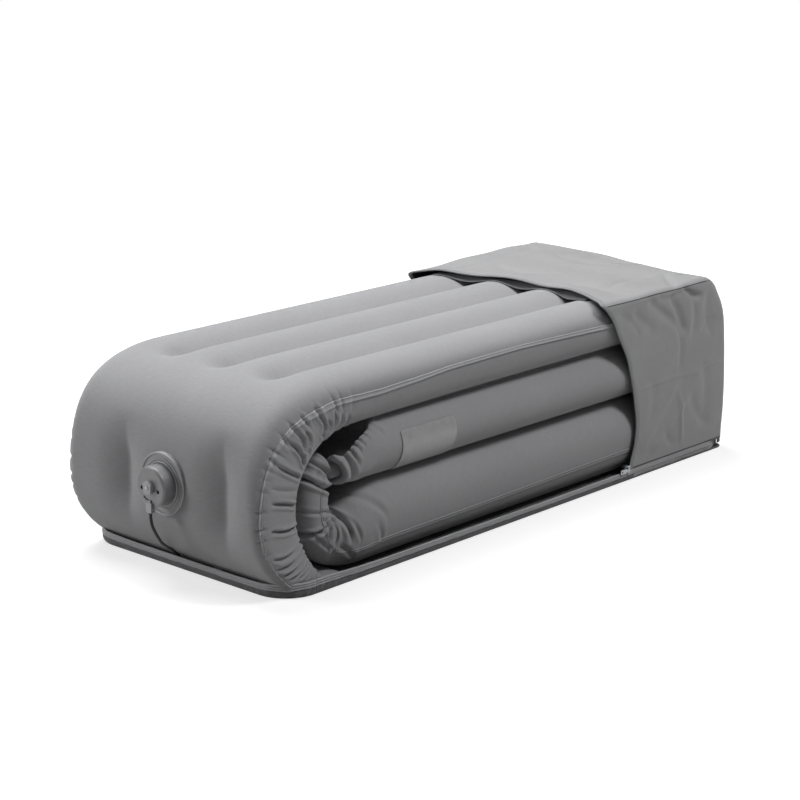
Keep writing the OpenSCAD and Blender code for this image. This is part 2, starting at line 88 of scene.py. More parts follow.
def cloth_surface(name, points, around=False, ends=False, flip=False):
    """A grid of points, rows by columns, becomes one mesh of four-sided faces. around joins the last column to the
    first, ends closes the first and last rows with a fan to their middle. The UV map is the distance along the
    columns and along the rows, in metres, so that a weave keeps its size and follows the surface."""
    rows, cols = points.shape[:2]
    wrap = np.concatenate([points, points[:, :1]], 1) if around else points
    across = np.linalg.norm(np.diff(wrap, axis=1), axis=2).cumsum(1)
    across = np.hstack([np.zeros((rows, 1)), across])
    along = np.linalg.norm(np.diff(wrap, axis=0), axis=2).mean(1).cumsum()
    along = np.repeat(np.concatenate([[0], along])[:, None], wrap.shape[1], 1)
    index = np.arange(rows * cols).reshape(rows, cols)
    if around:
        index = np.hstack([index, index[:, :1]])
    cut = (slice(None, -1), slice(None, -1)), (slice(None, -1), slice(1, None)), (slice(1, None), slice(1, None)), (slice(1, None), slice(None, -1))
    quads = np.stack([index[c] for c in cut], -1).reshape(-1, 4)
    uv = np.stack([np.stack([across[c], along[c]], -1) for c in cut], 2).reshape(-1, 2)
    co = points.reshape(-1, 3)
    loops, starts, uvs = [quads.ravel()], [np.arange(len(quads)) * 4], [uv]
    if ends:
        co = np.vstack([co, points[0].mean(0), points[-1].mean(0)])
        begin = quads.size
        for row, middle, order in ((0, len(co) - 2, (1, 0)), (rows - 1, len(co) - 1, (0, 1))):
            ring = index[row]
            fan = np.stack([ring[:-1], ring[1:]], -1)[:, order]
            fan = np.hstack([fan, np.full((len(fan), 1), middle)])
            loops.append(fan.ravel())
            starts.append(begin + np.arange(len(fan)) * 3)
            uvs.append(co[fan.ravel()][:, 1:] + 1.0)
            begin += fan.size
    loops, starts, uvs = np.concatenate(loops), np.concatenate(starts), np.vstack(uvs)
    mesh = bpy.data.meshes.new(name)
    mesh.vertices.add(len(co))
    mesh.vertices.foreach_set("co", co.astype(np.float32).ravel())
    mesh.loops.add(len(loops))
    mesh.loops.foreach_set("vertex_index", loops.astype(np.int32))
    mesh.polygons.add(len(starts))
    mesh.polygons.foreach_set("loop_start", starts.astype(np.int32))
    mesh.polygons.foreach_set("use_smooth", np.ones(len(starts), bool))
    layer = mesh.uv_layers.new(name="cloth")
    layer.uv.foreach_set("vector", uvs.astype(np.float32).ravel())
    mesh.update(calc_edges=True)
    mesh.validate()
    if flip:
        mesh.flip_normals()
    piece = bpy.data.objects.new(name, mesh)
    bpy.context.scene.collection.objects.link(piece)
    return piece


def tube(line, radius, sides, side_hint=(0, 0, 1)):
    """Rings of points about a line: each ring lies in the plane across the line's direction there, and is turned
    so that its first point stays on the same side. radius is a number or one for each point."""
    direction = unit(np.gradient(line, axis=0))
    across = np.empty_like(direction)
    hint = np.array(side_hint, float)
    for i, d in enumerate(direction):
        hint = hint - d * (hint @ d)
        hint /= np.linalg.norm(hint)
        across[i] = hint
    other = np.cross(direction, across)
    turn = np.linspace(0, 2 * math.pi, sides, endpoint=False)
    ring = across[:, None] * np.cos(turn)[None, :, None] + other[:, None] * np.sin(turn)[None, :, None]
    return line[:, None] + ring * np.broadcast_to(radius, len(line))[:, None, None]


def linear(code, alpha=1.0):
    """An sRGB hex colour as the linear values that a shader takes."""
    part = np.array([int(code[i:i + 2], 16) for i in (1, 3, 5)]) / 255
    part = np.where(part <= 0.04045, part / 12.92, ((part + 0.055) / 1.055) ** 2.4)
    return (*part.tolist(), alpha)


def add(tree, kind, inputs=(), **settings):
    """A node with its settings; each input is given a value, or is linked where what is given is a socket."""
    made = tree.nodes.new(kind)
    for key, value in settings.items():
        setattr(made, key, value)
    for key, value in dict(inputs).items():
        if isinstance(value, bpy.types.NodeSocket):
            tree.links.new(value, made.inputs[key])
        else:
            made.inputs[key].default_value = value
    return made


def finish(name, inputs):
    """A new material with its Principled shader, whose even values are typed on its own sockets."""
    material = bpy.data.materials.new(name)
    material.use_nodes = True
    tree = material.node_tree
    tree.nodes.clear()
    shader = add(tree, "ShaderNodeBsdfPrincipled", inputs)
    add(tree, "ShaderNodeOutputMaterial", {"Surface": shader.outputs[0]})
    return material, tree, shader


def colour_steps(tree, factor, stops):
    """A colour ramp from (place, hex) pairs."""
    ramp = add(tree, "ShaderNodeValToRGB", {"Fac": factor})
    band = ramp.color_ramp
    while len(band.elements) < len(stops):
        band.elements.new(1.0)
    for element, (place, code) in zip(band.elements, stops):
        element.position = place
        element.color = linear(code)
    return ramp.outputs["Color"]


cord_line = smooth_line(cord_points, 8)
turns = np.arange(len(cord_line))
retaining_cord = cloth_surface("retaining_cord", tube(cord_line, cord_diameter / 2, 16, (0, 1, 0)), around=True, ends=True, flip=True)

# Braided polyester over a soft core: black, with the small bright crossings of the braid about 1.2 mm apart.
braid, tree, shader = finish("braided_polyester_black", {"Roughness": 0.62, "Specular IOR Level": 0.35, "Sheen Weight": 0.2})
where = add(tree, "ShaderNodeTexCoord")
strands = [add(tree, "ShaderNodeTexWave", {"Vector": add(tree, "ShaderNodeMapping", {"Vector": where.outputs["UV"], "Rotation": (0, 0, a)}).outputs[0], "Scale": 130.0, "Distortion": 0.0},
               bands_direction="X") for a in (0.785, -0.785)]
crossing = add(tree, "ShaderNodeMath", {0: strands[0].outputs["Fac"], 1: strands[1].outputs["Fac"]}, operation="MULTIPLY")
tree.links.new(colour_steps(tree, crossing.outputs[0], ((0.0, "#0b0b0c"), (0.6, "#1c1c1e"), (1.0, "#343437"))), shader.inputs["Base Color"])
tree.links.new(add(tree, "ShaderNodeBump", {"Height": crossing.outputs[0], "Strength": 0.6, "Distance": 0.0004}).outputs[0], shader.inputs["Normal"])
retaining_cord.data.materials.append(braid)
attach(retaining_cord, "pad")
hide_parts("tether_cord")


# ---------------------------------------------------------------------------------------------------------------
# The pad: one inflated layer of brushed polyester knit with a polyurethane film welded to its inside. It starts
# flat under the stack, turns up over the valve end, runs back as three channels, folds inside the hood, comes
# forward as the middle run, turns again inside the first bend and ends as the lower run on the cover's base.
# ---------------------------------------------------------------------------------------------------------------
def window(x, low, high):
    """0 below low, 1 above high, and a smooth S between them. It falls instead where high is the smaller."""
    t = np.clip((x - low) / (high - low), 0, 1)
    return t * t * (3 - 2 * t)


def bend_point(angle, wide, up, down, power_up, power_down, floor):
    """The outline of the valve end, by the angle from straight up: a superellipse about the fold's middle, as wide
    as wide, as high as up above the middle and as low as down below it, cut off at the floor."""
    s, c = np.sin(angle), np.cos(angle)
    power = np.where(c > 0, power_up, power_down)
    x = -0.320 - wide * np.abs(s) ** (2 / power)
    z = 0.100 + np.where(c > 0, up, -down) * np.abs(c) ** (2 / power)
    soft = 0.5 * (z + floor + np.sqrt((z - floor) ** 2 + 0.003**2))
    return np.stack([x, soft], -1)


# stations: both faces of the layer as (x, z), then half width, edge rounding at face A and at face B, the share of
# the thickness from face A down to the widest line, the depth of the weld below face A as a share, and the arc power
angles = np.radians(np.linspace(172, 0, 380))
outer_bend = np.hstack([
    bend_point(angles, 0.159, 0.149, 0.122, 2.8, 2.0, 0.0035),
    bend_point(angles, 0.0885, 0.083, 0.103, 2.0, 2.0, 0.0062)])
share = np.degrees(angles)
bend_shape = np.stack([np.interp(share, [0, 20, 45, 90, 135, 160, 172], v) for v in (
    [.170, .170, .170, .170, .169, .167, .165],
    [.0425, .040, .030, .019, .016, .012, .010],
    [.020, .016, .014, .014, .014, .012, .010],
    [.39, .38, .34, .30, .30, .35, .4],
    [.43, .40, .27, .105, .11, .12, .2],
    [2.0, 2.1, 2.2, 2.4, 2.4, 2.2, 2.0])], -1)

run_x = np.linspace(-0.318, 0.361, 96)[1:]
top_run = np.stack([run_x, np.full_like(run_x, .249), run_x, np.full_like(run_x, .183)], -1)
top_shape = np.stack([np.interp(run_x, [-.32, -.277, -.153, -.02, .182, .361], v) for v in (
    [.170] * 6, [.0425] * 6, [.020, .024, .028, .030, .030, .030], [.39] * 6, [.43, .44, .355, .335, .40, .42], [2.0] * 6)], -1)

fold = np.radians(np.linspace(0, 180, 40))[1:]
rear_fold = np.stack([.361 + .072 * np.sin(fold), .177 + .072 * np.cos(fold),
                      .361 + .006 * np.sin(fold), .183 + 0 * fold], -1)
fold_shape = np.stack([np.interp(np.degrees(fold), [0, 90, 180], v) for v in (
    [.170, .166, .170], [.0425, .03, .034], [.030, .02, .034], [.39, .45, .5], [.42, .5, .95], [2.0, 2.0, 2.1])], -1)

# face A (inside of the second bend), face B (outside), then the same shape values
inner_stations = np.array([
    (361, 105, 361, 183, 170, 43, 43, .50, .97, 1.9),
    (150, 105.3, 150, 183, 170, 43, 43, .50, .97, 1.9),
    (-50, 105.4, -50, 183, 170, 43, 43, .50, .97, 1.9),
    (-180, 105.5, -180, 183, 170, 43, 43, .50, .97, 1.9),
    (-250, 105.5, -250, 183, 170, 43, 43, .50, .97, 1.9),
    (-283, 107, -270, 181, 170, 41, 34, .50, .96, 2.0),
    (-300, 108.5, -288, 175.5, 169.5, 36, 15, .52, .95, 2.3),
    (-315, 110.5, -307, 166.5, 168.5, 34, 11, .54, .93, 2.4),
    (-327, 113, -321, 155.5, 166, 30, 10, .54, .88, 2.4),
    (-334, 114, -330, 150, 161, 26, 10, .52, .80, 2.4),
    (-338, 112, -339, 149, 148, 22, 12, .50, .70, 2.4),
    (-340, 107, -352, 152, 147, 18, 18, .50, .60, 2.4),
    (-341, 103, -365, 146.5, 151, 17, 22, .50, .55, 2.4),
    (-341.5, 99, -376, 130, 154, 18, 24, .50, .52, 2.4),
    (-341.5, 95, -383, 107, 155, 18, 25, .50, .50, 2.4),
    (-341, 90.5, -383, 82, 155, 18, 25, .50, .50, 2.4),
    (-339.5, 86, -377, 57, 155, 18, 25, .50, .52, 2.4),
    (-337, 82, -367, 37, 155, 18, 25, .50, .56, 2.3),
    (-333, 79.5, -352, 21, 155, 20, 26, .50, .62, 2.2),
    (-327, 80.5, -338, 11, 153, 26, 26, .50, .68, 2.1),
    (-315, 86, -320, 6, 162, 32, 30, .50, .70, 2.1),
    (-300, 94, -300, 4.4, 168, 38, 34, .48, .71, 2.1),
    (-275, 101.5, -275, 3.8, 169.5, 42, 38, .46, .705, 2.1),
    (-240, 104.5, -240, 3.5, 170, 42, 40, .45, .70, 2.1),
    (-100, 104.5, -100, 3.5, 170, 42, 40, .45, .69, 2.1),
    (100, 104.5, 100, 3.5, 170, 42, 40, .45, .66, 2.1),
    (280, 104.5, 280, 3.5, 170, 42, 40, .45, .64, 2.1),
    (385, 104.0, 385, 3.5, 170, 42, 40, .45, .64, 2.1)])
inner_stations[:, :7] /= 1000
steps_per_span = 20
inner_rows = smooth_line(inner_stations, steps_per_span)[1:]
closing = np.radians(np.linspace(0, 86, 10))[1:]
last = inner_rows[-1]
lower_end = np.repeat(last[None], len(closing), 0)
lower_end[:, 0] = lower_end[:, 2] = last[0] + 0.040 * np.sin(closing)
lower_end[:, 1] = 0.054 + 0.050 * np.cos(closing)
lower_end[:, 3] = 0.054 - 0.0505 * np.cos(closing)
lower_end[:, 4] = last[4] - 0.040 * (1 - np.cos(closing))

rows = np.vstack([np.hstack([outer_bend, bend_shape]), np.hstack([top_run, top_shape]),
                  np.hstack([rear_fold, fold_shape]), inner_rows, lower_end])
face_a, face_b = rows[:, 0:2], rows[:, 2:4]
row_place = np.concatenate([[0], np.linalg.norm(np.diff((face_a + face_b) / 2, axis=0), axis=1).cumsum()])
bend_rows, run_rows, fold_rows = len(outer_bend), len(top_run), len(rear_fold)
first_layer = np.arange(len(rows)) < bend_rows + run_rows + fold_rows
row_zone = np.where(np.arange(len(rows)) < bend_rows, 0, np.where(np.arange(len(rows)) < bend_rows + run_rows, 1, np.where(first_layer, 2, 3)))


def weld_turn(shape):
    """Where the weld lies round the section, as a turn from 6 (edge of face B) through 7 (widest) to 8 (edge of
    face A), from its depth below face A."""
    widest, depth, power = shape[:, 3], shape[:, 4], shape[:, 5]
    above = np.clip((widest - depth) / widest, 0, 1) ** (power / 2)
    below = np.clip((depth - widest) / (1 - widest), 0, 1) ** (power / 2)
    return np.where(depth < widest, 8 - np.arccos(above) * 2 / math.pi, 6 + np.arccos(below) * 2 / math.pi)


def layer_section(turn, shape, path):
    """The closed outline of the layer at each station. Turn 0 to 2 crosses face A from the near to the far edge, 2
    to 4 goes down the far side, 4 to 6 crosses face B back and 6 to 8 comes up the near side. A side is two quarter
    superellipses that meet at the widest line. Faces A and B carry the channels: each is an arch between two
    valleys 85 mm apart, whose drop is the channel depth times the square of how near the valley is."""
    half, round_a, round_b, widest, _, power = (shape[:, i:i + 1] for i in range(6))
    t = np.broadcast_to(turn, (len(shape), np.shape(turn)[-1]))
    exponent = 2 / power
    quarter = lambda v: np.clip(v, 0, 1) * math.pi / 2
    y = np.zeros_like(t)
    v = np.zeros_like(t)
    side = np.where(t < 5, 1.0, -1.0)
    local = np.where(t < 5, 10 - t, t)
    in_a, in_b = t <= 2, (t > 4) & (t < 6)
    upper, lower = (local >= 7) & ~in_a & ~in_b, (local < 7) & ~in_a & ~in_b
    th = quarter(8 - local)
    y = np.where(upper, side * (half - round_a + round_a * np.sin(th) ** exponent), y)
    v = np.where(upper, 1 - widest + widest * np.cos(th) ** exponent, v)
    th = quarter(local - 6)
    y = np.where(lower, side * (half - round_b + round_b * np.sin(th) ** exponent), y)
    v = np.where(lower, (1 - widest) * (1 - np.cos(th) ** exponent), v)
    y = np.where(in_a, (half - round_a) * (t - 1), y)
    v = np.where(in_a, 1.0, v)
    y = np.where(in_b, (half - round_b) * (5 - t), y)
    return y, v


def surface(turn):
    """Points of the layer: its section set up across the line between the two faces at each station."""
    shape = rows[:, 4:]
    y, v = layer_section(turn, shape, row_place)
    x = face_b[:, :1] + (face_a[:, :1] - face_b[:, :1]) * v
    z = face_b[:, 1:] + (face_a[:, 1:] - face_b[:, 1:]) * v
    return np.stack([x, y, z], -1), v


def outward(points):
    """The direction out of the surface at each grid point, across its two grid directions."""
    return unit(np.cross(np.gradient(points, axis=1), np.gradient(points, axis=0)))


def creases(x, z, lines, reach=0.08, soft=False):
    """Depth of folds in a stretched side. Each fold is an arc from its first to its last point through about the
    middle one, with its half width and depth: a groove as deep as depth that falls off as a bell with the distance
    from the arc, between two soft ridges, and fades out towards both ends, the last of which it passes by reach. A soft fold is a
    plain bell, without the sharp bottom and the ridges."""
    total = np.zeros_like(x)
    for x0, z0, xm, zm, x1, z1, wide, deep in lines:
        ax, az, bx, bz = x0 / 1000, z0 / 1000, x1 / 1000, z1 / 1000
        length = math.hypot(bx - ax, bz - az)
        ux, uz = (bx - ax) / length, (bz - az) / length
        bow = (xm / 1000 - ax) * -uz + (zm / 1000 - az) * ux
        along = ((x - ax) * ux + (z - az) * uz) / length
        off = (x - ax) * -uz + (z - az) * ux - bow * 4 * np.clip(along, 0, 1) * (1 - np.clip(along, 0, 1))
        off = np.abs(off) / (wide / 1000)
        fade = window(along, -0.08, 0.14) * window(along, 1 + reach, 0.72 + reach)
        groove = 1.5 * np.exp(-(off / 1.1) ** 2) if soft else 1.5 * np.exp(-1.2 * off**1.25) - 0.5 * np.exp(-((off - 2.4) / 1.3) ** 2)
        total += deep / 1000 * fade * groove
    return total


# folds in the near side of the first bend, where the weld gathers the outer skin: (x, z) of both ends and of the
# middle, half width, depth, all in mm
first_bend_folds = [
    (-387, 221, -382, 217, -377, 210, 2.2, 2.4), (-377, 208, -368, 197, -369, 186, 1.9, 3.2),
    (-352, 210, -349, 197, -361, 181, 2.0, 2.6), (-408, 215, -403, 211, -397, 204, 2.2, 2.4),
    (-400, 196, -393, 186, -394, 173, 1.8, 3.0), (-411, 195, -404, 183, -404, 170, 1.9, 3.2),
    (-425, 207, -419, 202, -414, 196, 2.2, 2.2), (-425, 187, -412, 176, -403, 161, 1.9, 4.0),
    (-438, 197, -433, 191, -427, 184, 2.2, 2.2), (-443, 163, -427, 153, -412, 145, 1.9, 4.0),
    (-457, 176, -453, 172, -449, 167, 2.2, 2.0), (-452, 121, -438, 118, -420, 112, 1.7, 4.4),
    (-454, 90, -438, 85, -418, 84, 1.7, 4.2),
    (-365, 203, -358, 193, -361, 184, 2.0, 1.8), (-339, 204, -337, 192, -342, 185, 2.4, 1.6),
    (-328, 200, -324, 191, -327, 185, 2.6, 1.3), (-446, 41, -422, 43, -402, 53, 1.9, 3.0),
    (-438, 31, -415, 36, -396, 47, 1.8, 2.8), (-427, 25, -406, 30, -391, 43, 1.8, 2.8),
    (-414, 22, -397, 28, -385, 39, 1.7, 2.8), (-402, 19, -388, 26, -379, 35, 1.6, 2.6),
    (-389, 18, -380, 25, -372, 32, 1.6, 2.4), (-378, 17, -371, 21, -365, 27, 1.5, 2.2),
    (-453, 55, -432, 53, -408, 62, 1.9, 3.2),
    (-456, 140, -438, 134, -417, 129, 2.6, 1.3), (-315, 200, -312, 192, -314, 186, 3.0, 1.0)]
# folds of the second bend, its shoulders against the middle and lower runs, and the gathers along the middle run's
# rounded end
second_bend_folds = [
    (-397, 66, -367, 62, -340, 77, 2.0, 4.6), (-373, 62, -357, 47, -342, 34, 1.8, 3.0),
    (-344, 34, -337, 46, -335, 63, 1.8, 3.0), (-386, 137, -365, 121, -339, 108, 2.2, 5.5),
    (-364, 147, -350, 135, -338, 112, 2.0, 4.6), (-350, 157, -335, 134, -339, 110, 2.6, 8.0),
    (-357, 86, -349, 87, -338, 86, 1.5, 2.2), (-385, 92, -372, 88, -356, 86, 2.0, 1.4),
    (-402, 88, -400, 71, -388, 51, 3.0, 1.6), (-374, 126, -366, 130, -360, 140, 2.4, 1.2),
    (-355, 85, -328, 74, -318, 44, 2.2, 4.6), (-348, 78, -336, 64, -337, 40, 1.7, 3.0),
    (-331, 80, -314, 63, -306, 40, 1.8, 1.7), (-350, 90, -308, 95, -262, 60, 3.4, 2.0),
    (-281, 56, -274, 45, -271, 33, 2.4, 1.6), (-331, 38, -320, 29, -309, 18, 2.2, 2.6),
    (-357, 76, -348, 61, -350, 44, 1.8, 3.0),
    (-323, 159, -319, 154, -315, 148, 1.3, 1.5), (-315, 163, -310, 157, -306, 152, 1.3, 1.5),
    (-308, 168, -303, 162, -299, 157, 1.3, 1.4), (-299, 172, -294, 167, -290, 162, 1.2, 1.3),
    (-290, 176, -284, 171, -279, 167, 1.2, 1.2), (-328, 151, -323, 138, -317, 120, 3.0, 2.8),
    (-340, 152, -338, 147, -337, 141, 2.0, 2.0), (-321, 153, -315, 145, -309, 136, 1.8, 2.6),
    
    (-278, 182, -270, 172, -262, 163, 2.2, 1.8)]
channel_depth = 0.0145
weld_middle = weld_turn(rows[:, 4:])
# small puckers where the weld is shorter than the skin outside it: narrow notches, 9 to 16 mm apart, from the floor
# to the first straight of the top run
chance = np.random.default_rng(11)
notches = row_place[6] + np.cumsum(chance.uniform(0.007, 0.024, 34))
notch_depth = chance.uniform(0.3, 1.0, 34)
pucker = sum(d * np.exp(-np.abs((row_place - n) / 0.0019) ** 1.5) for n, d in zip(notches, notch_depth))


def cloth_depth(points, v, turn):
    """How far each point of the layer is drawn in: the channels of the faces, the two shallow ones of the valve
    end, and the folds of the sides."""
    x, y, z = points[..., 0], points[..., 1], points[..., 2]
    zone = row_zone[:, None]
    t = np.broadcast_to(turn, x.shape)
    on_a = window(t, -0.3, 0.0) * window(t, 2.3, 2.0)
    on_b = window(t, 3.7, 4.0) * window(t, 6.3, 6.0)
    near_valley = np.abs((np.abs(y) + 0.0425) % 0.085 - 0.0425)
    arch = (1 - np.sqrt((near_valley / 0.0425) ** 2 + 0.0004)) ** 2 * window(np.abs(y), 0.1275, 0.1265)
    on_top = window(x, -0.402, -0.358) * (zone <= 1) * (z > 0.15) + (zone == 2)
    drawn = on_a * arch * (channel_depth * on_top + 0.005 * (zone == 3))
    drawn = drawn + on_b * arch * 0.005 * (zone >= 1)
    front = (zone == 0) * on_a
    for place, low, high, deep in ((-0.102, 0.045, 0.185, 0.0175), (0.066, 0.050, 0.178, 0.0175)):
        valley = (1 - np.sqrt((np.clip(np.abs(y - place), 0, 0.05) / 0.05) ** 2 + 0.0006)).clip(0, 1) ** 2
        drawn = drawn + front * deep * valley * window(z, low - 0.012, low + 0.05) * window(z, high + 0.016, high - 0.055)
    dimples = sum(np.exp(-((y - p) / 0.014) ** 2 - ((x + 0.366) / 0.022) ** 2) for p in (-0.085, 0.0, 0.085))
    drawn = drawn + front * (z > 0.15) * 0.003 * dimples
    edge = np.exp(-((t - 10 + weld_middle[:, None]) / 0.22) ** 2) + np.exp(-((t - weld_middle[:, None]) / 0.22) ** 2)
    drawn = drawn + (zone == 0) * edge * pucker[:, None] * 0.0030
    end_hollow = window(x, -0.262, -0.288) * window(x, -0.360, -0.342) * (z > 0.13)
    drawn = drawn + (zone == 3) * end_hollow * 0.030 * window(t, 3.80, 3.97) * window(t, 6.20, 6.03) * window(np.abs(y), 0.163, 0.150)
    near = window(y, -0.100, -0.122) * (window(t, 5.86, 6.10) + window(t, 0.25, 0.0))
    far = window(y, 0.100, 0.122) * window(t, 1.75, 2.0) * window(t, 4.14, 3.90)
    first = creases(x, z, first_bend_folds, 0.34)
    second = creases(x, z, second_bend_folds)
    drawn = drawn + (near + far) * (first * (zone <= 1) * (x < -0.28) + second * (zone == 3) * (x < -0.24))
    return drawn


face_turns = np.linspace(0, 2, 108, endpoint=False)
side_turns = 3 + np.sin(np.linspace(-math.pi / 2, math.pi / 2, 46, endpoint=False)) * 0.5 + np.linspace(-0.5, 0.5, 46, endpoint=False)
back_turns = np.linspace(4, 6, 44, endpoint=False)
turns = np.concatenate([face_turns, side_turns, back_turns, side_turns + 4])[None]
skin, across = surface(turns)
normals = outward(np.concatenate([skin[:, -1:], skin, skin[:, :1]], 1))[:, 1:-1]
side_sign = np.sign((normals[:, len(face_turns) + 23] * np.array([0, 1, 0])).sum(-1).mean())
normals *= side_sign
skin = skin - normals * cloth_depth(skin, across, turns)[..., None]
pad = cloth_surface("pad_skin", skin, around=True, ends=True, flip=bool(side_sign > 0))

# Brushed polyester knit, heat-laminated: the raised fibres give a matt, even grey with a faint diagonal streak and
# a soft bright edge where the cloth turns away. The knit's 0.6 mm rows are drawn 1.1 mm wide so that they show.
def brushed_polyester(name, dark, mid, light, grain=1.0, bump=0.5):
    cloth, tree, shader = finish(name, {"Roughness": 0.78, "Specular IOR Level": 0.28, "Sheen Weight": 0.22, "Sheen Roughness": 0.45})
    where = add(tree, "ShaderNodeTexCoord")
    turned = add(tree, "ShaderNodeMapping", {"Vector": where.outputs["UV"], "Rotation": (0, 0, 0.75), "Scale": (90.0, 520.0, 1.0)})
    streak = add(tree, "ShaderNodeTexNoise", {"Vector": turned.outputs[0], "Scale": 1.0, "Detail": 4.0, "Roughness": 0.6})
    fleck = add(tree, "ShaderNodeTexNoise", {"Vector": where.outputs["UV"], "Scale": 900.0, "Detail": 2.0, "Roughness": 0.7})
    cloud = add(tree, "ShaderNodeTexNoise", {"Vector": where.outputs["Object"], "Scale": 9.0, "Detail": 3.0})
    mixed = add(tree, "ShaderNodeMix", {0: 0.42, 2: streak.outputs["Fac"], 3: fleck.outputs["Fac"]}, data_type="FLOAT")
    mixed = add(tree, "ShaderNodeMix", {0: 0.2, 2: mixed.outputs[0], 3: cloud.outputs["Fac"]}, data_type="FLOAT")
    tree.links.new(colour_steps(tree, mixed.outputs[0], ((0.25, dark), (0.5, mid), (0.75, light))), shader.inputs["Base Color"])
    knit = [add(tree, "ShaderNodeTexWave", {"Vector": where.outputs["UV"], "Scale": 145.0, "Distortion": 1.5, "Detail": 1.0}, bands_direction=d).outputs["Fac"] for d in "XY"]
    rib = add(tree, "ShaderNodeMath", {0: knit[0], 1: knit[1]}, operation="ADD")
    height = add(tree, "ShaderNodeMath", {0: rib.outputs[0], 1: 0.35, 2: fleck.outputs["Fac"]}, operation="MULTIPLY_ADD")
    tree.links.new(add(tree, "ShaderNodeBump", {"Height": height.outputs[0], "Strength": bump, "Distance": 0.00025 * grain}).outputs[0], shader.inputs["Normal"])
    return cloth


pad_cloth = brushed_polyester("brushed_polyester_knit_grey", "#8c8c8e", "#969698", "#a2a2a4")
pad.data.materials.append(pad_cloth)
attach(pad, "pad")
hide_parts("pad_top_run", "pad_outer_bend", "pad_tail", "pad_rear_bend", "pad_middle_run", "pad_inner_bend", "pad_lower_run")


# ---------------------------------------------------------------------------------------------------------------
# Edge weld: the two skins are welded together round the pad and the edge is turned flat, which leaves a smooth band
# with two raised lines along each side of every run.
# ---------------------------------------------------------------------------------------------------------------
# Along the first layer (valve end, top run and rear fold) the band is coloured lighter than the pad cloth. This is
# painted highlight for the light that its two raised lines catch. Along the middle and lower runs the band keeps the
# pad cloth's grey.
weld_cloth_with_painted_highlight = brushed_polyester("pressed_polyester_knit_grey_painted_highlight", "#a2a2a4", "#adadaf", "#b8b8ba", 0.4, 0.25)
side_length = np.interp(row_zone, [0, 1, 2, 3], [0.085, 0.095, 0.1, 0.11])
half_band = np.where(row_zone == 3, 0.0018, 0.0030)
offsets = np.linspace(-1, 1, 13)
ridge_height = 0.0007 + 0.0012 * np.exp(-((np.abs(offsets) - 0.66) / 0.2) ** 2) - 0.0022 * (np.abs(offsets) > 0.98)
for side_name, mirror in (("near", False), ("far", True)):
    turn_here = weld_middle[:, None] + offsets[None] * (half_band / side_length)[:, None] * 2
    if mirror:
        turn_here = 10 - turn_here
    band, across = surface(turn_here)
    lift = outward(band)
    lift *= np.sign((lift[..., 1].mean()) * (1 if mirror else -1))
    fade = np.where(row_zone == 3, 0.55, 1.0)[:, None]
    band = band - lift * (cloth_depth(band, across, turn_here) - ridge_height[None] * fade)[..., None]
    for layer_name, part, cloth in (("outer", slice(2, int(first_layer.sum()) - 6), weld_cloth_with_painted_highlight), ("inner", slice(int(first_layer.sum()) - 6, -8), pad_cloth)):
        weld = cloth_surface("edge_weld_" + layer_name + "_" + side_name, band[part], flip=mirror)
        weld.data.materials.append(cloth)
        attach(weld, "pad")


# ---------------------------------------------------------------------------------------------------------------
# Care label: a thin smooth film, heat-pressed on the near side of the middle run. It is left plain.
# ---------------------------------------------------------------------------------------------------------------
label_u, label_v = np.meshgrid(np.linspace(-1, 1, 61), np.linspace(-1, 1, 41), indexing="ij")
corner = 0.16
squeeze = 1 - (1 - np.sqrt(np.clip(1 - ((np.abs(label_v) - (1 - corner)) / corner).clip(0, 1) ** 2, 0, 1))) * 0.10
label_x = -0.189 + 0.049 * label_u * squeeze
label_z = 0.136 + 0.0265 * label_v
middle_side = inner_stations[3]
rise = (label_z - 0.144) / 0.039
label_y = -(0.170 - 0.043 + 0.043 * (1 - np.abs(rise) ** 1.9).clip(0, 1) ** (1 / 1.9)) - 0.0006
label = cloth_surface("care_label_film", np.stack([label_x, label_y, label_z], -1), flip=True)
edge = label.modifiers.new("film", "SOLIDIFY")
edge.thickness = 0.0005
edge.offset = 1.0

# Satin polyurethane film: smoother and a little darker than the cloth, so it shows as a faint sheen.
film, tree, shader = finish("satin_polyurethane_film_grey", {"Roughness": 0.42, "Specular IOR Level": 0.5, "Coat Weight": 0.15, "Coat Roughness": 0.35})
where = add(tree, "ShaderNodeTexCoord")
cloud = add(tree, "ShaderNodeTexNoise", {"Vector": where.outputs["Object"], "Scale": 120.0, "Detail": 3.0})
tree.links.new(colour_steps(tree, cloud.outputs["Fac"], ((0.3, "#989899"), (0.7, "#a2a2a4"))), shader.inputs["Base Color"])
tree.links.new(add(tree, "ShaderNodeBump", {"Height": cloud.outputs["Fac"], "Strength": 0.25, "Distance": 0.0003}).outputs[0], shader.inputs["Normal"])
label.data.materials.append(film)
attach(label, "pad")
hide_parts("label_patch")


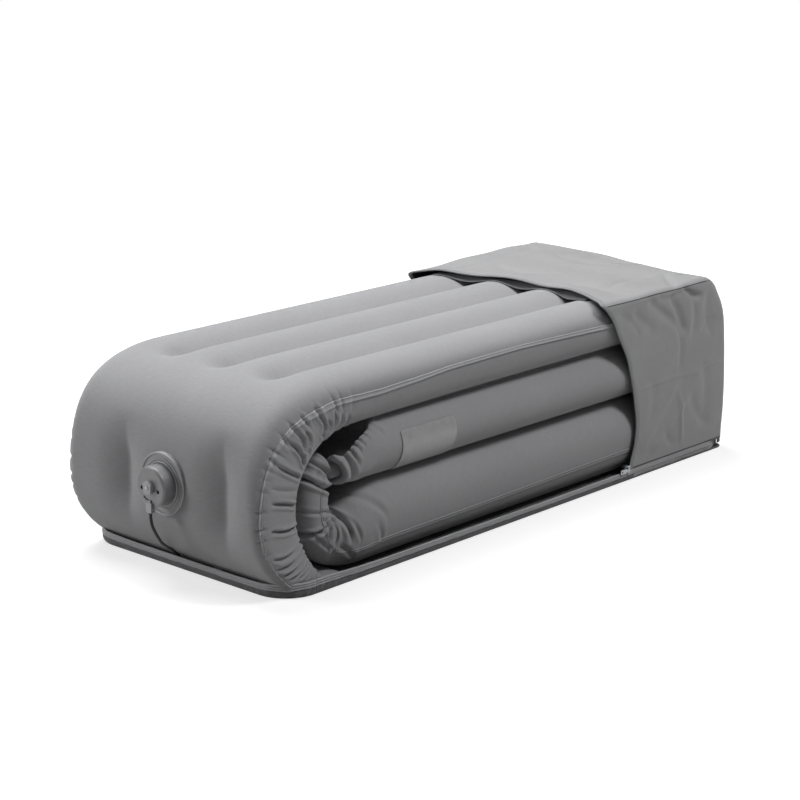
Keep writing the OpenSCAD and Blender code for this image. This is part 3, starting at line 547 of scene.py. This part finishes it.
# ---------------------------------------------------------------------------------------------------------------
# Valve: a soft PVC flange is welded to the end of the pad and holds a moulded housing. The pull-off cap is a turned
# drum with a rounded front edge, vents and a knob; the clip of the retaining cord hangs from its front.
# ---------------------------------------------------------------------------------------------------------------
def moulded_plastic(name, low, high, rough, coat):
    """Moulded plastic: an even colour with a very fine sparked texture that breaks up the highlights."""
    plastic, tree, shader = finish(name, {"Specular IOR Level": 0.5, "Coat Weight": coat, "Coat Roughness": 0.3})
    where = add(tree, "ShaderNodeTexCoord")
    spark = add(tree, "ShaderNodeTexNoise", {"Vector": where.outputs["Object"], "Scale": 1400.0, "Detail": 2.0})
    cloud = add(tree, "ShaderNodeTexNoise", {"Vector": where.outputs["Object"], "Scale": 60.0, "Detail": 3.0})
    tree.links.new(colour_steps(tree, cloud.outputs["Fac"], ((0.3, low), (0.7, high))), shader.inputs["Base Color"])
    rough_range = add(tree, "ShaderNodeMapRange", {"Value": cloud.outputs["Fac"], "To Min": rough - 0.05, "To Max": rough + 0.06})
    tree.links.new(rough_range.outputs[0], shader.inputs["Roughness"])
    tree.links.new(add(tree, "ShaderNodeBump", {"Height": spark.outputs["Fac"], "Strength": 0.15, "Distance": 0.0002}).outputs[0], shader.inputs["Normal"])
    return plastic


def refinish(node, material):
    """A part kept from the solid model takes this material on all its faces."""
    mesh = bpy.data.objects[node].data
    mesh.materials.clear()
    mesh.materials.append(material)
    mesh.polygons.foreach_set("material_index", np.zeros(len(mesh.polygons), np.int32))


valve_plastic = moulded_plastic("moulded_abs_grey", "#7a7a7c", "#818183", 0.38, 0.25)
knob_plastic = moulded_plastic("moulded_abs_light_grey", "#9a9a9c", "#a0a0a2", 0.34, 0.3)
flange_pvc = moulded_plastic("soft_pvc_grey", "#929294", "#9a9a9c", 0.5, 0.1)
dark_plastic = moulded_plastic("moulded_abs_black", "#121213", "#18181a", 0.4, 0.2)
seal_rubber = moulded_plastic("silicone_rubber_dark", "#2a2a2c", "#303032", 0.6, 0.0)
for node, material in (("valve_flange", flange_pvc), ("valve_backing_ring", flange_pvc), ("valve_housing", valve_plastic),
                       ("valve_seat", dark_plastic), ("valve_cap", valve_plastic), ("cap_seal", seal_rubber),
                       ("valve_knob", knob_plastic), ("knob_stem", knob_plastic), ("valve_shutter", dark_plastic),
                       ("valve_flap", seal_rubber), ("flap_stem", valve_plastic), ("tether_clip", knob_plastic),
                       ("tether_anchor", flange_pvc)):
    refinish(node, material)

# Beads moulded on the flange's edge and face and round the cap's foot, and the rivet head in the knob.
valve_nose = (-0.479, -0.011, 0.1195)
bead_pvc = moulded_plastic("soft_pvc_light_grey", "#a0a0a2", "#aaaaac", 0.42, 0.2)
rivet_metal = moulded_plastic("nickel_plated_rivet", "#b4b6b8", "#c2c4c6", 0.25, 0.5)


def turned_ring(name, profile, material, body):
    """A piece turned about the valve's axis from a profile of (radius, distance out from the nose), in mm."""
    profile = np.array(profile) / 1000
    turn = np.linspace(0, 2 * math.pi, 120, endpoint=False)[None]
    radius, out = profile[:, :1], profile[:, 1:]
    ring = np.stack([valve_nose[0] - out + 0 * turn, valve_nose[1] + radius * np.cos(turn), valve_nose[2] + radius * np.sin(turn)], -1)
    piece = cloth_surface(name, ring, around=True)
    piece.data.materials.append(material)
    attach(piece, body)
    return piece


bead_turn = np.linspace(0, math.pi, 9)
for name, middle, half, out, rise in (("flange_edge_bead", 37.4, 0.7, 2.0, 0.6), ("flange_face_bead", 30.6, 0.8, 1.1, 0.8),
                                      ("cap_foot_bead", 26.4, 0.9, 1.9, 1.0)):
    profile = np.stack([middle - half * np.cos(bead_turn), out + rise * np.sin(bead_turn)], -1)
    turned_ring(name, profile, bead_pvc, "pad")
turned_ring("knob_rivet", [(2.3, 25.6), (2.2, 26.1), (1.8, 26.5), (1.1, 26.75), (0.4, 26.85), (0.0, 26.86)], rivet_metal, "knob")

# Spring steel wire, bright drawn: a clean grey metal with fine lines along the wire.
spring, tree, shader = finish("spring_steel", {"Metallic": 1.0, "Roughness": 0.28})
where = add(tree, "ShaderNodeTexCoord")
drawn_lines = add(tree, "ShaderNodeTexNoise", {"Vector": where.outputs["Object"], "Scale": 800.0})
tree.links.new(colour_steps(tree, drawn_lines.outputs["Fac"], ((0.3, "#a9acb0"), (0.7, "#bcbfc3"))), shader.inputs["Base Color"])
refinish("flap_spring", spring)


# ---------------------------------------------------------------------------------------------------------------
# Cover base: a sheet of coated plain-weave polyester under the whole stack, with a low rim round it. The rim is
# darker than the hood, stands up and leans a little outwards, and carries half of a coil zip on a woven tape.
# ---------------------------------------------------------------------------------------------------------------
def plain_weave(name, dark, mid, light, thread, sheen, rough, bump):
    """Plain-weave cloth: two crossed sets of threads, as wide as thread in metres, over a faint cloudiness."""
    cloth, tree, shader = finish(name, {"Roughness": rough, "Specular IOR Level": 0.35, "Sheen Weight": sheen, "Sheen Roughness": 0.4})
    where = add(tree, "ShaderNodeTexCoord")
    threads = [add(tree, "ShaderNodeTexWave", {"Vector": where.outputs["UV"], "Scale": 0.314 / thread, "Distortion": 0.8, "Detail": 1.0}, bands_direction=d).outputs["Fac"] for d in "XY"]
    weave = add(tree, "ShaderNodeMath", {0: threads[0], 1: threads[1]}, operation="MULTIPLY")
    slub = add(tree, "ShaderNodeTexNoise", {"Vector": add(tree, "ShaderNodeMapping", {"Vector": where.outputs["UV"], "Scale": (70.0, 700.0, 1.0)}).outputs[0], "Scale": 1.0, "Detail": 3.0})
    cloud = add(tree, "ShaderNodeTexNoise", {"Vector": where.outputs["Object"], "Scale": 14.0, "Detail": 4.0})
    mixed = add(tree, "ShaderNodeMix", {0: 0.35, 2: slub.outputs["Fac"], 3: cloud.outputs["Fac"]}, data_type="FLOAT")
    mixed = add(tree, "ShaderNodeMix", {0: 0.25, 2: mixed.outputs[0], 3: weave.outputs[0]}, data_type="FLOAT")
    tree.links.new(colour_steps(tree, mixed.outputs[0], ((0.2, dark), (0.45, mid), (0.75, light))), shader.inputs["Base Color"])
    tree.links.new(add(tree, "ShaderNodeBump", {"Height": weave.outputs[0], "Strength": bump, "Distance": 0.0002}).outputs[0], shader.inputs["Normal"])
    return cloth


base_cloth = plain_weave("coated_plain_weave_dark_grey", "#5b5b5d", "#646466", "#6e6e70", 0.0009, 0.12, 0.7, 0.5)
hood_cloth = plain_weave("plain_weave_polyester_grey", "#8d8d8f", "#979798", "#a1a1a3", 0.0008, 0.25, 0.62, 0.35)
tape_cloth = plain_weave("woven_zip_tape_grey", "#a4a4a6", "#afafb1", "#bababc", 0.0012, 0.1, 0.7, 0.8)
base_length, base_half, valve_corner, hood_corner = 0.441, 0.176, 0.045, 0.018


def base_outline(inset=0.0, spacing=0.003):
    """The edge of the base as a closed line, from the middle of the hood end along the near side: straight sides
    joined by quarter circles, 45 mm at the valve end and 18 mm at the hood end, moved inwards by inset."""
    parts = []
    for cx, cy, r, start in ((base_length - hood_corner, -base_half + hood_corner, hood_corner, 0),
                             (-base_length + valve_corner, -base_half + valve_corner, valve_corner, -90),
                             (-base_length + valve_corner, base_half - valve_corner, valve_corner, -180),
                             (base_length - hood_corner, base_half - hood_corner, hood_corner, -270)):
        a = np.radians(start - np.linspace(0, 90, 16))
        parts.append(np.stack([cx + (r - inset) * np.cos(a), cy + (r - inset) * np.sin(a)], -1))
    corners = np.vstack(parts)
    corners = np.vstack([[[base_length - inset, 0.0]], corners, [[base_length - inset, 0.0]]])
    lengths = np.concatenate([[0], np.linalg.norm(np.diff(corners, axis=0), axis=1).cumsum()])
    even = np.linspace(0, lengths[-1], int(lengths[-1] / spacing))
    return np.stack([np.interp(even, lengths, corners[:, i]) for i in (0, 1)], -1)


outline = base_outline()
out_direction = unit(np.stack([-np.gradient(outline[:, 1]), np.gradient(outline[:, 0])], -1))
out_direction *= np.sign((out_direction * outline).sum(-1).mean())

# The floor of the cover, from its middle out to the rim: rings of the outline drawn in towards the centre line.
shrink = np.linspace(0.0, 1.0, 22)[:, None, None] ** 0.8
centre_line = np.stack([np.clip(outline[:, 0], -0.265, 0.265), 0 * outline[:, 0]], -1)
floor_points = centre_line[None] + (outline[None] - centre_line[None]) * shrink
floor_z = 0.0009 + 0.0004 * np.sin(floor_points[..., 0] * 60) * np.sin(floor_points[..., 1] * 75) * (shrink[..., 0] < 0.9)
floor_cloth = cloth_surface("cover_floor_cloth", np.concatenate([floor_points[:, :-1], floor_z[:, :-1, None]], -1), around=True)
wall = floor_cloth.modifiers.new("cloth", "SOLIDIFY")
wall.thickness = 0.0009
wall.offset = 0.0
floor_cloth.data.materials.append(base_cloth)
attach(floor_cloth, "cover")
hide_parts("cover_base")


def rim_strip(name, keep_rows, heights, leans, ripple, seed, thickness=0.0011):
    """A band that follows the outline at given heights, each moved outwards by its lean. Ripples of a few seeded
    wave lengths, stronger towards the bottom, push the cloth in and out, as where it is gathered to the seam."""
    line, out = outline[keep_rows], out_direction[keep_rows]
    run = np.concatenate([[0], np.linalg.norm(np.diff(line, axis=0), axis=1).cumsum()])
    chance = np.random.default_rng(seed)
    wave = sum(np.sin(run * 2 * math.pi / w + chance.uniform(0, 6.28)) for w in (0.031, 0.047, 0.083, 0.17)) / 3
    heights, leans = np.array(heights), np.array(leans)
    swell = 1 + 0.28 * np.exp(-(((line[:, 0] + 0.39) / 0.06) ** 2 + ((line[:, 1] + 0.17) / 0.05) ** 2)) + 0.18 * np.exp(-(((line[:, 0] + 0.42) / 0.05) ** 2 + ((line[:, 1] - 0.16) / 0.05) ** 2)) - 0.12 * np.exp(-((line[:, 0] - 0.05) / 0.2) ** 2) * (line[:, 1] < 0)
    tucked = window(line[:, 0], 0.19, 0.24)
    corner_gather = np.exp(-(((line[:, 0] + 0.40) / 0.05) ** 2 + ((line[:, 1] + 0.15) / 0.06) ** 2))
    wave = wave + 1.6 * corner_gather * np.sin(run * 2 * math.pi / 0.013 + 2 * np.sin(run * 70))
    push = leans[None] - 0.0012 * tucked[:, None] - 0.006 * window(line[:, 0], 0.40, 0.425)[:, None] + wave[:, None] * ripple * np.sin(np.linspace(0.25, 1, len(heights)) * math.pi)[None]
    plan = line[:, None] + out[:, None] * push[..., None]
    swell = swell + 0.32 * tucked * (heights[-1] < 0.01)
    rise = 0.001 + (heights[None] - 0.001) * swell[:, None]
    strip = cloth_surface(name, np.concatenate([plan, rise[..., None]], -1), flip=True)
    wall = strip.modifiers.new("cloth", "SOLIDIFY")
    wall.thickness = thickness
    wall.offset = 0.0
    return strip


split_x = -0.396
on_near = (outline[:, 1] < 0) & (outline[:, 0] > split_x)
on_far = (outline[:, 1] > 0) & (outline[:, 0] > split_x)
rim_parts = {
    "near": np.where(on_near & (outline[:, 0] <= 0.424))[0],
    "far": np.where(on_far & (outline[:, 0] <= 0.424))[0],
    "valve_end": np.where(outline[:, 0] <= split_x + 0.003)[0],
    "hood_end": np.concatenate([np.where(on_far & (outline[:, 0] > 0.421))[0], np.where(on_near & (outline[:, 0] > 0.421))[0][1:]])}
for part, keep in rim_parts.items():
    rim = rim_strip("cover_rim_" + part, keep, [0.0012, 0.0024, 0.004, 0.0055, 0.007, 0.0082, 0.0090],
                    [-0.0012, 0.0004, 0.0010, 0.0012, 0.0010, 0.0006, 0.0002], 0.0007, 7)
    rim.data.materials.append(base_cloth)
    rim.data.materials.append(hood_cloth)
    corners = np.empty(len(rim.data.vertices) * 3)
    rim.data.vertices.foreach_get("co", corners)
    first = np.empty(len(rim.data.loops), np.int32)
    rim.data.loops.foreach_get("vertex_index", first)
    under_hood = corners.reshape(-1, 3)[first.reshape(-1, 4)[:, 0], 0] > 0.222
    rim.data.polygons.foreach_set("material_index", under_hood.astype(np.int32))
    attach(rim, "cover")
    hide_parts("rim_" + part)
    if part == "valve_end":
        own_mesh(rim)
    if part == "hood_end":
        continue
    tape = rim_strip("zip_tape_" + part + "_woven", keep, [0.0074, 0.0086, 0.0089, 0.0098, 0.0101, 0.0106, 0.0109, 0.0122, 0.0125, 0.0129, 0.0132, 0.0141, 0.0148],
                     [0.0007, 0.0009, 0.0020, 0.0020, 0.0006, 0.0006, 0.0018, 0.0018, 0.0006, 0.0006, 0.0018, 0.0016, 0.0004], 0.0003, 11)
    tape.data.materials.append(tape_cloth)
    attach(tape, "cover")
    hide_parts("zip_tape_" + part)
    if part == "valve_end":
        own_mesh(tape)


# ---------------------------------------------------------------------------------------------------------------
# Zip: a nylon coil. Forward of the sliders its two halves are apart and only the base's half shows, along the top
# of the tape; behind the sliders they are meshed, inside the hood. The sliders are die-cast zinc with a pull.
# ---------------------------------------------------------------------------------------------------------------
coil, tree, shader = finish("nylon_zip_coil_black", {"Roughness": 0.45, "Specular IOR Level": 0.5})
where = add(tree, "ShaderNodeTexCoord")
turns_of_coil = add(tree, "ShaderNodeTexWave", {"Vector": where.outputs["Object"], "Scale": 210.0}, bands_direction="X")
tree.links.new(colour_steps(tree, turns_of_coil.outputs["Fac"], ((0.2, "#161617"), (0.8, "#3b3b3d"))), shader.inputs["Base Color"])
tree.links.new(add(tree, "ShaderNodeBump", {"Height": turns_of_coil.outputs["Fac"], "Strength": 0.8, "Distance": 0.0005}).outputs[0], shader.inputs["Normal"])
for node in ("zip_chain_near", "zip_chain_far", "zip_chain_hood_end"):
    refinish(node, coil)

zinc, tree, shader = finish("die_cast_zinc_grey", {"Metallic": 1.0})
where = add(tree, "ShaderNodeTexCoord")
worn = add(tree, "ShaderNodeTexNoise", {"Vector": where.outputs["Object"], "Scale": 260.0, "Detail": 4.0})
tree.links.new(colour_steps(tree, worn.outputs["Fac"], ((0.3, "#8f9194"), (0.7, "#b4b6b9"))), shader.inputs["Base Color"])
tree.links.new(add(tree, "ShaderNodeMapRange", {"Value": worn.outputs["Fac"], "To Min": 0.25, "To Max": 0.42}).outputs[0], shader.inputs["Roughness"])
for node in ("slider_near", "pull_near", "slider_far", "pull_far"):
    refinish(node, zinc)


# ---------------------------------------------------------------------------------------------------------------
# Hood: the lid of the cover, pulled back over the fold end. One length of plain-weave polyester runs up the near
# side, over the top and down the far side, and is closed by an end panel. It is cut back in a curve at the mouth
# and held down by the zip, so the cloth is drawn into folds from the mouth and from the corners.
# ---------------------------------------------------------------------------------------------------------------
hood_half, hood_low, hood_high, hood_round = 0.1762, 0.0138, 0.2545, 0.010
mouth_on_top = np.array([(-0.1769, 0.146), (-0.128, 0.171), (-0.071, 0.190), (-0.011, 0.192), (0.054, 0.186), (0.114, 0.168), (0.150, 0.157), (0.1769, 0.150)])
mouth_on_side = np.array([(0.0138, 0.0650), (0.045, 0.0765), (0.077, 0.0795), (0.12, 0.0730), (0.175, 0.0530), (0.23, 0.0200), (0.2530, -0.002)])

side_rise = np.linspace(hood_low, hood_high - hood_round, 98)[:, None]
arc = np.linspace(0, math.pi / 2, 12)[1:-1]
top_across = np.linspace(-(hood_half - hood_round), hood_half - hood_round, 140)
profile = np.vstack([
    np.hstack([np.full_like(side_rise, -hood_half), side_rise]),
    np.stack([-(hood_half - hood_round) - hood_round * np.cos(arc), hood_high - hood_round + hood_round * np.sin(arc)], -1),
    np.stack([top_across, np.full_like(top_across, hood_high)], -1),
    np.stack([(hood_half - hood_round) + hood_round * np.sin(arc), hood_high - hood_round + hood_round * np.cos(arc)], -1),
    np.hstack([np.full_like(side_rise, hood_half), side_rise])[::-1]])


def mouth_x(y, z):
    """How far back the mouth's edge lies at each point of the hood's section."""
    top = np.interp(y, mouth_on_top[:, 0], mouth_on_top[:, 1])
    side = np.interp(z, mouth_on_side[:, 0], mouth_on_side[:, 1])
    base = np.where(y < 0, mouth_on_top[0, 1], mouth_on_top[-1, 1])
    return np.where(np.abs(y) > hood_half - hood_round + 0.001, base + side, top)


mouth_line = mouth_x(profile[:, 0], profile[:, 1])
kernel = np.exp(-np.linspace(-2, 2, 13) ** 2)
padded_line = np.concatenate([np.full(6, mouth_line[0]), mouth_line, np.full(6, mouth_line[-1])])
mouth_line = np.convolve(padded_line, kernel / kernel.sum(), mode="valid")

y0, z0 = profile[:, 0], profile[:, 1]
near_share = window(y0, 0.10, -0.17)
end_top = window(z0, 0.12, 0.252)
end_x = np.full_like(z0, 0.4405)
near_round = np.interp(z0, [0.010, 0.016, 0.050, 0.10, 0.150, 0.190, 0.215, 0.236, 0.253], [0.022, 0.0175, 0.013, 0.0125, 0.015, 0.023, 0.034, 0.050, 0.066])
near_round = np.convolve(np.pad(near_round, 10, mode="edge"), np.hanning(23)[1:-1] / np.hanning(23).sum(), mode="valid")
round_x = near_round * near_share + (0.012 + 0.006 * end_top) * (1 - near_share)
round_in = round_x * 0.9
lengthwise = np.linspace(0, 1, 94)[:, None]
straight = mouth_line[None] + lengthwise * (end_x - round_x - mouth_line)[None]
turned = np.radians(np.linspace(0, 90, 18))[1:, None]
bent = (end_x - round_x)[None] + round_x[None] * np.sin(turned)
inset = round_in[None] * (1 - np.cos(turned))
close = np.linspace(0, 0.985, 26)[1:, None]
x_all = np.vstack([straight, bent, np.broadcast_to(bent[-1], (len(close), len(y0))) + 0.004 * np.sin(close * math.pi)])
inset_all = np.vstack([np.zeros_like(straight), inset, np.broadcast_to(inset[-1], (len(close), len(y0)))])
y_all = y0[None] * (1 - inset_all / hood_half)
z_all = hood_low + (z0 - hood_low)[None] * (1 - inset_all / (hood_high - hood_low))
shut = np.concatenate([np.zeros(len(straight) + len(bent)), close[:, 0]])[:, None]
y_all = y_all * (1 - shut)
z_all = hood_low + (z_all - hood_low) * (1 - shut)
hood_points = np.stack([x_all, y_all, z_all], -1)

# folds in the near panel: (x, z) of both ends and of the middle, half width, depth, in mm; ridges have a negative depth
near_panel_folds = [
    (215, 234, 236, 215, 263, 201, 7, 1.6), (179, 236, 205, 223, 228, 200, 5, 1.2),
    (245, 245, 289, 216, 330, 190, 7, 2.6), (300, 240, 321, 210, 336, 180, 6, 2.6),
    (330, 251, 344, 239, 368, 231, 5, 4.0), (317, 196, 326, 164, 325, 136, 5, 1.8),
    (228, 122, 294, 126, 354, 124, 2.2, -1.0), (350, 124, 392, 127, 430, 133, 2.2, -1.0),
    (238, 38, 280, 81, 322, 124, 8, -2.0), (262, 27, 305, 63, 346, 100, 6, -1.6),
    (322, 104, 328, 68, 333, 22, 3.5, -1.6), (372, 182, 388, 189, 405, 196, 6, 1.4),
    (266, 246, 308, 240, 332, 248, 4, 1.6), (212, 184, 263, 194, 311, 192, 9, 1.0),
    (256, 133, 263, 98, 254, 65, 9, 1.2), (375, 137, 390, 86, 381, 38, 10, 1.4),
    (345, 236, 356, 205, 350, 175, 6, 1.6), (385, 235, 384, 205, 396, 170, 7, 1.5),
    (290, 60, 300, 40, 318, 24, 6, 1.2), (350, 92, 372, 60, 402, 40, 8, 1.4)]
top_panel_folds = [
    (375, 89, 353, 13, 402, -64, 9, 1.0), (252, 100, 237, 45, 277, -22, 8, 0.9), (238, -115, 327, -100, 355, -107, 7, 1.2),
    (224, -55, 226, -101, 216, -155, 6, 0.9), (364, -117, 330, -150, 312, -173, 6, 1.6), (300, 150, 340, 130, 400, 150, 9, 1.2),
    (180, 130, 240, 120, 300, 140, 8, 1.0)]
hx, hy, hz = (hood_points[..., i] for i in range(3))
hood_out = outward(hood_points)
hood_out *= np.sign((hood_out[:len(straight), 120:140, 2]).mean())
on_side = window(hz, hood_high - 0.002, hood_high - 0.012)
before_end = window(hx, 0.4405, 0.425)
near_side, far_side = window(hy, -0.150, -0.168), window(hy, 0.150, 0.168)
drawn = creases(hx, hz, near_panel_folds, soft=True) * near_side * on_side
drawn += creases(hx, hz + 0.012, near_panel_folds, soft=True) * far_side * on_side
drawn += creases(hx, hy, top_panel_folds, soft=True) * (1 - on_side)
end_folds = [(-130, 235, -100, 180, -110, 120, 10, 2.0), (120, 230, 90, 170, 100, 110, 10, 2.0), (-60, 240, -20, 215, 60, 236, 12, 1.8), (-150, 60, -60, 90, 60, 60, 12, 1.2), (-140, 124, 0, 126, 140, 124, 3, -1.0)]
drawn += creases(hy, hz, end_folds, soft=True) * window(shut, 0.0, 0.1) * window(shut, 0.95, 0.8)
sag = 0.0022 * np.sin((hz - hood_low) / (hood_high - hood_low) * math.pi) * (near_side + far_side) * before_end
to_mouth = hx - mouth_line[None]
lifted = np.exp(-(to_mouth / 0.030) ** 2) * (1 - on_side) * (0.0012 + 0.0012 * np.sin(hy * 52 + 0.5))
slow = 0.0009 * np.sin(hx * 41 + hy * 33 + 1.0) * np.sin(hy * 27 - hx * 19) + 0.0008 * np.sin(hx * 63 - hz * 48)
calm = window(hz, 0.013, 0.036)
over_zip = 0.0003 * window(hz, 0.030, 0.018) * (near_side + far_side + (1 - before_end)).clip(0, 1)
droop = 0.0055 * window(hy, 0.120, 0.172) * np.exp(-((hx - mouth_line[None]).clip(0, 1) / 0.07) ** 1.5) * window(hz, 0.205, 0.250)
hood_points = hood_points - np.stack([0 * droop, 0 * droop, droop], -1) - hood_out * (calm * (drawn + sag * -0.35 + slow * before_end) - lifted - over_zip)[..., None]
hood = cloth_surface("hood_cloth", hood_points, flip=True)
wall = hood.modifiers.new("cloth", "SOLIDIFY")
wall.thickness = 0.0012
wall.offset = -1.0

lining_cloth = plain_weave("coated_lining_dark_grey", "#2b2b2d", "#333335", "#3c3c3e", 0.0009, 0.05, 0.8, 0.3)
hood.data.materials.append(hood_cloth)
hood.data.materials.append(lining_cloth)
wall.material_offset = 1
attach(hood, "cover")
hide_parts("hood_top", "hood_near_panel", "hood_far_panel", "hood_end_panel")

# Seams: the top is joined to the side panels, and they to the end panel, by a lapped seam that shows as a dark sunken
# line with a row of stitches beside it. The band laid here is raised; its dark colour is painted shade standing in for
# the sunken line, with the stitches drawn along it.
seam_painted_shade, tree, shader = finish("sewn_seam_painted_shade_grey", {"Roughness": 0.8, "Specular IOR Level": 0.2})
where = add(tree, "ShaderNodeTexCoord")
stitch = add(tree, "ShaderNodeTexWave", {"Vector": where.outputs["UV"], "Scale": 95.0}, bands_direction="Y")
tree.links.new(colour_steps(tree, stitch.outputs["Fac"], ((0.3, "#2e2e30"), (0.7, "#4a4a4c"))), shader.inputs["Base Color"])
tree.links.new(add(tree, "ShaderNodeBump", {"Height": stitch.outputs["Fac"], "Strength": 0.6, "Distance": 0.0004}).outputs[0], shader.inputs["Normal"])


def along_surface(name, line, across, out, half_width, height, cloth, cols=7, flip=False):
    """A narrow band laid on the hood: it follows a line of surface points and is as wide as twice half_width, with
    a rounded back as high as height."""
    v = np.linspace(-1, 1, cols)
    band = (line[:, None] + across[:, None] * (v * half_width)[None, :, None]
            + out[:, None] * (height * (1 - v**2) - 0.0003)[None, :, None])
    piece = cloth_surface(name, band, flip=flip)
    piece.data.materials.append(cloth)
    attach(piece, "cover")
    return piece


def smoothed(line, reach=4):
    """A line whose points are the mean of their neighbours."""
    wide = np.concatenate([np.repeat(line[:1], reach, 0), line, np.repeat(line[-1:], reach, 0)])
    return np.stack([np.convolve(wide[:, i], np.ones(2 * reach + 1) / (2 * reach + 1), mode="valid") for i in range(3)], -1)


hood_normal = outward(hood_points)
hood_normal *= np.sign((hood_normal[:len(straight), 120:140, 2]).mean())
near_edge_col, far_edge_col = len(side_rise) + 3, len(profile) - len(side_rise) - 4
for seam_name, line, out in (("near", hood_points[:len(straight) + 8, near_edge_col], hood_normal[:len(straight) + 8, near_edge_col]),
                             ("far", hood_points[:len(straight) + 8, far_edge_col], hood_normal[:len(straight) + 8, far_edge_col]),
                             ("end", hood_points[len(straight) + 9], hood_normal[len(straight) + 9])):
    line, out = smoothed(line, 1), unit(smoothed(out, 2))
    across = unit(np.cross(out, np.gradient(line, axis=0)))
    # the seam band carries painted shade: it is coloured dark for the sunken line
    along_surface("hood_seam_" + seam_name, line, across, out, 0.0008, 0.0007, seam_painted_shade)

# Binding: a folded tape sewn over the cut edge of the mouth.
edge_line = smoothed(hood_points[0], 2)
inward = unit(smoothed(unit(hood_points[2] - hood_points[0]), 3))
edge_out = unit(smoothed(hood_out[0], 3))
bind_turn = np.radians(np.linspace(0, 360, 15)[:-1])
binding_points = (edge_line[:, None] + inward[:, None] * (0.0032 + 0.0042 * np.cos(bind_turn))[None, :, None]
                  + edge_out[:, None] * (-0.0006 + 0.0013 * np.sign(np.sin(bind_turn)) * np.abs(np.sin(bind_turn)) ** 0.5)[None, :, None])
binding = cloth_surface("mouth_binding", binding_points, around=True, ends=True)
binding_cloth = plain_weave("folded_binding_tape_grey", "#7f7f81", "#898a8b", "#949496", 0.0010, 0.15, 0.7, 0.6)
binding.data.materials.append(binding_cloth)
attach(binding, "cover")
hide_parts("hood_hem")

# Lid cloth folded back under the mouth: a dark band of the lining under the binding.
fold_across = np.linspace(-0.128, 0.136, 140)
fold_back = np.concatenate([np.linspace(-0.004, 0.012, 10), np.linspace(0.018, 0.070, 10)])
fold_x = mouth_x(fold_across, np.full_like(fold_across, hood_high))[None] + fold_back[:, None]
between_tubes = 0.5 + 0.5 * np.cos(fold_across * 2 * math.pi / 0.085)
fold_z = 0.2503 + 0.0002 * np.sin(fold_x * 90) - window(fold_back, 0.009, -0.003)[:, None] * (0.0003 + 0.0056 * between_tubes)
folded = cloth_surface("folded_lid_cloth", np.stack([fold_x, np.broadcast_to(fold_across, fold_x.shape), fold_z], -1))
wall = folded.modifiers.new("cloth", "SOLIDIFY")
wall.thickness = 0.0008
wall.offset = 0.0
folded.data.materials.append(base_cloth)
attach(folded, "cover")
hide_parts("hood_folded_lid")


# ---------------------------------------------------------------------------------------------------------------
# Studio: a pale floor, a large soft box overhead and a weaker one on the side of the valve end.
# ---------------------------------------------------------------------------------------------------------------
reach = 6.0
ground = cloth_surface("studio_floor", np.stack(np.meshgrid([-reach, reach], [-reach, reach], [-0.0004], indexing="ij"), -1)[:, :, 0], flip=True)
paper, tree, shader = finish("studio_paper_white", {"Roughness": 0.9, "Specular IOR Level": 0.1, })
seen = add(tree, "ShaderNodeLightPath")
to_eye = add(tree, "ShaderNodeMath", {0: seen.outputs["Is Camera Ray"], 1: seen.outputs["Is Glossy Ray"]}, operation="MAXIMUM")
to_eye = add(tree, "ShaderNodeMath", {0: to_eye.outputs[0], 1: seen.outputs["Is Transmission Ray"]}, operation="MAXIMUM")
where = add(tree, "ShaderNodeTexCoord")
shade = add(tree, "ShaderNodeMapRange", {"Value": to_eye.outputs[0], "To Min": 0.36, "To Max": 1.0})
tree.links.new(shade.outputs[0], shader.inputs["Base Color"])
away = add(tree, "ShaderNodeVectorMath", {0: where.outputs["Object"]}, operation="LENGTH")
far_share = add(tree, "ShaderNodeMapRange", {"Value": away.outputs["Value"], "From Min": 0.7, "From Max": 1.3, "To Min": 0.50, "To Max": 1.0}, interpolation_type="SMOOTHSTEP")
lit_share = add(tree, "ShaderNodeMath", {0: far_share.outputs[0], 1: to_eye.outputs[0]}, operation="MULTIPLY")
white = add(tree, "ShaderNodeEmission", {"Color": (1, 1, 1, 1), "Strength": 1.3})
blended = add(tree, "ShaderNodeMixShader", {0: lit_share.outputs[0], 1: shader.outputs[0], 2: white.outputs[0]})
tree.links.new(blended.outputs[0], [n for n in tree.nodes if n.type == "OUTPUT_MATERIAL"][0].inputs["Surface"])
ground.data.materials.append(paper)

world = bpy.data.worlds.new("studio")
bpy.context.scene.world = world
world.use_nodes = True
tree = world.node_tree
tree.nodes.clear()
seen = add(tree, "ShaderNodeLightPath")
either = add(tree, "ShaderNodeMath", {0: seen.outputs["Is Camera Ray"], 1: seen.outputs["Is Transmission Ray"]}, operation="MAXIMUM")
level = add(tree, "ShaderNodeMapRange", {"Value": either.outputs[0], "To Min": 0.12, "To Max": 1.0})
sky = add(tree, "ShaderNodeBackground", {"Color": (1, 1, 1, 1), "Strength": level.outputs[0]})
add(tree, "ShaderNodeOutputWorld", {"Surface": sky.outputs[0]})

for name, place, aim, size, power in (("overhead_soft_box", (0.1, 0.9, 2.3), (0, 0, 0), 2.0, 62.0),
                                      ("far_side_soft_box", (-2.1, 1.7, 1.1), (-0.3, 0, 0.12), 0.8, 25.0),
                                      ("near_side_soft_box", (0.5, -1.7, 2.5), (0.0, 0, 0.1), 0.8, 40.0)):
    lamp = bpy.data.objects.new(name, bpy.data.lights.new(name, "AREA"))
    bpy.context.scene.collection.objects.link(lamp)
    lamp.location = place
    lamp.rotation_euler = (Vector(place) - Vector(aim)).to_track_quat("Z", "Y").to_euler()
    lamp.data.shape = "DISK"
    lamp.data.size = size
    lamp.data.energy = power

bpy.context.scene.view_settings.view_transform = "Standard"
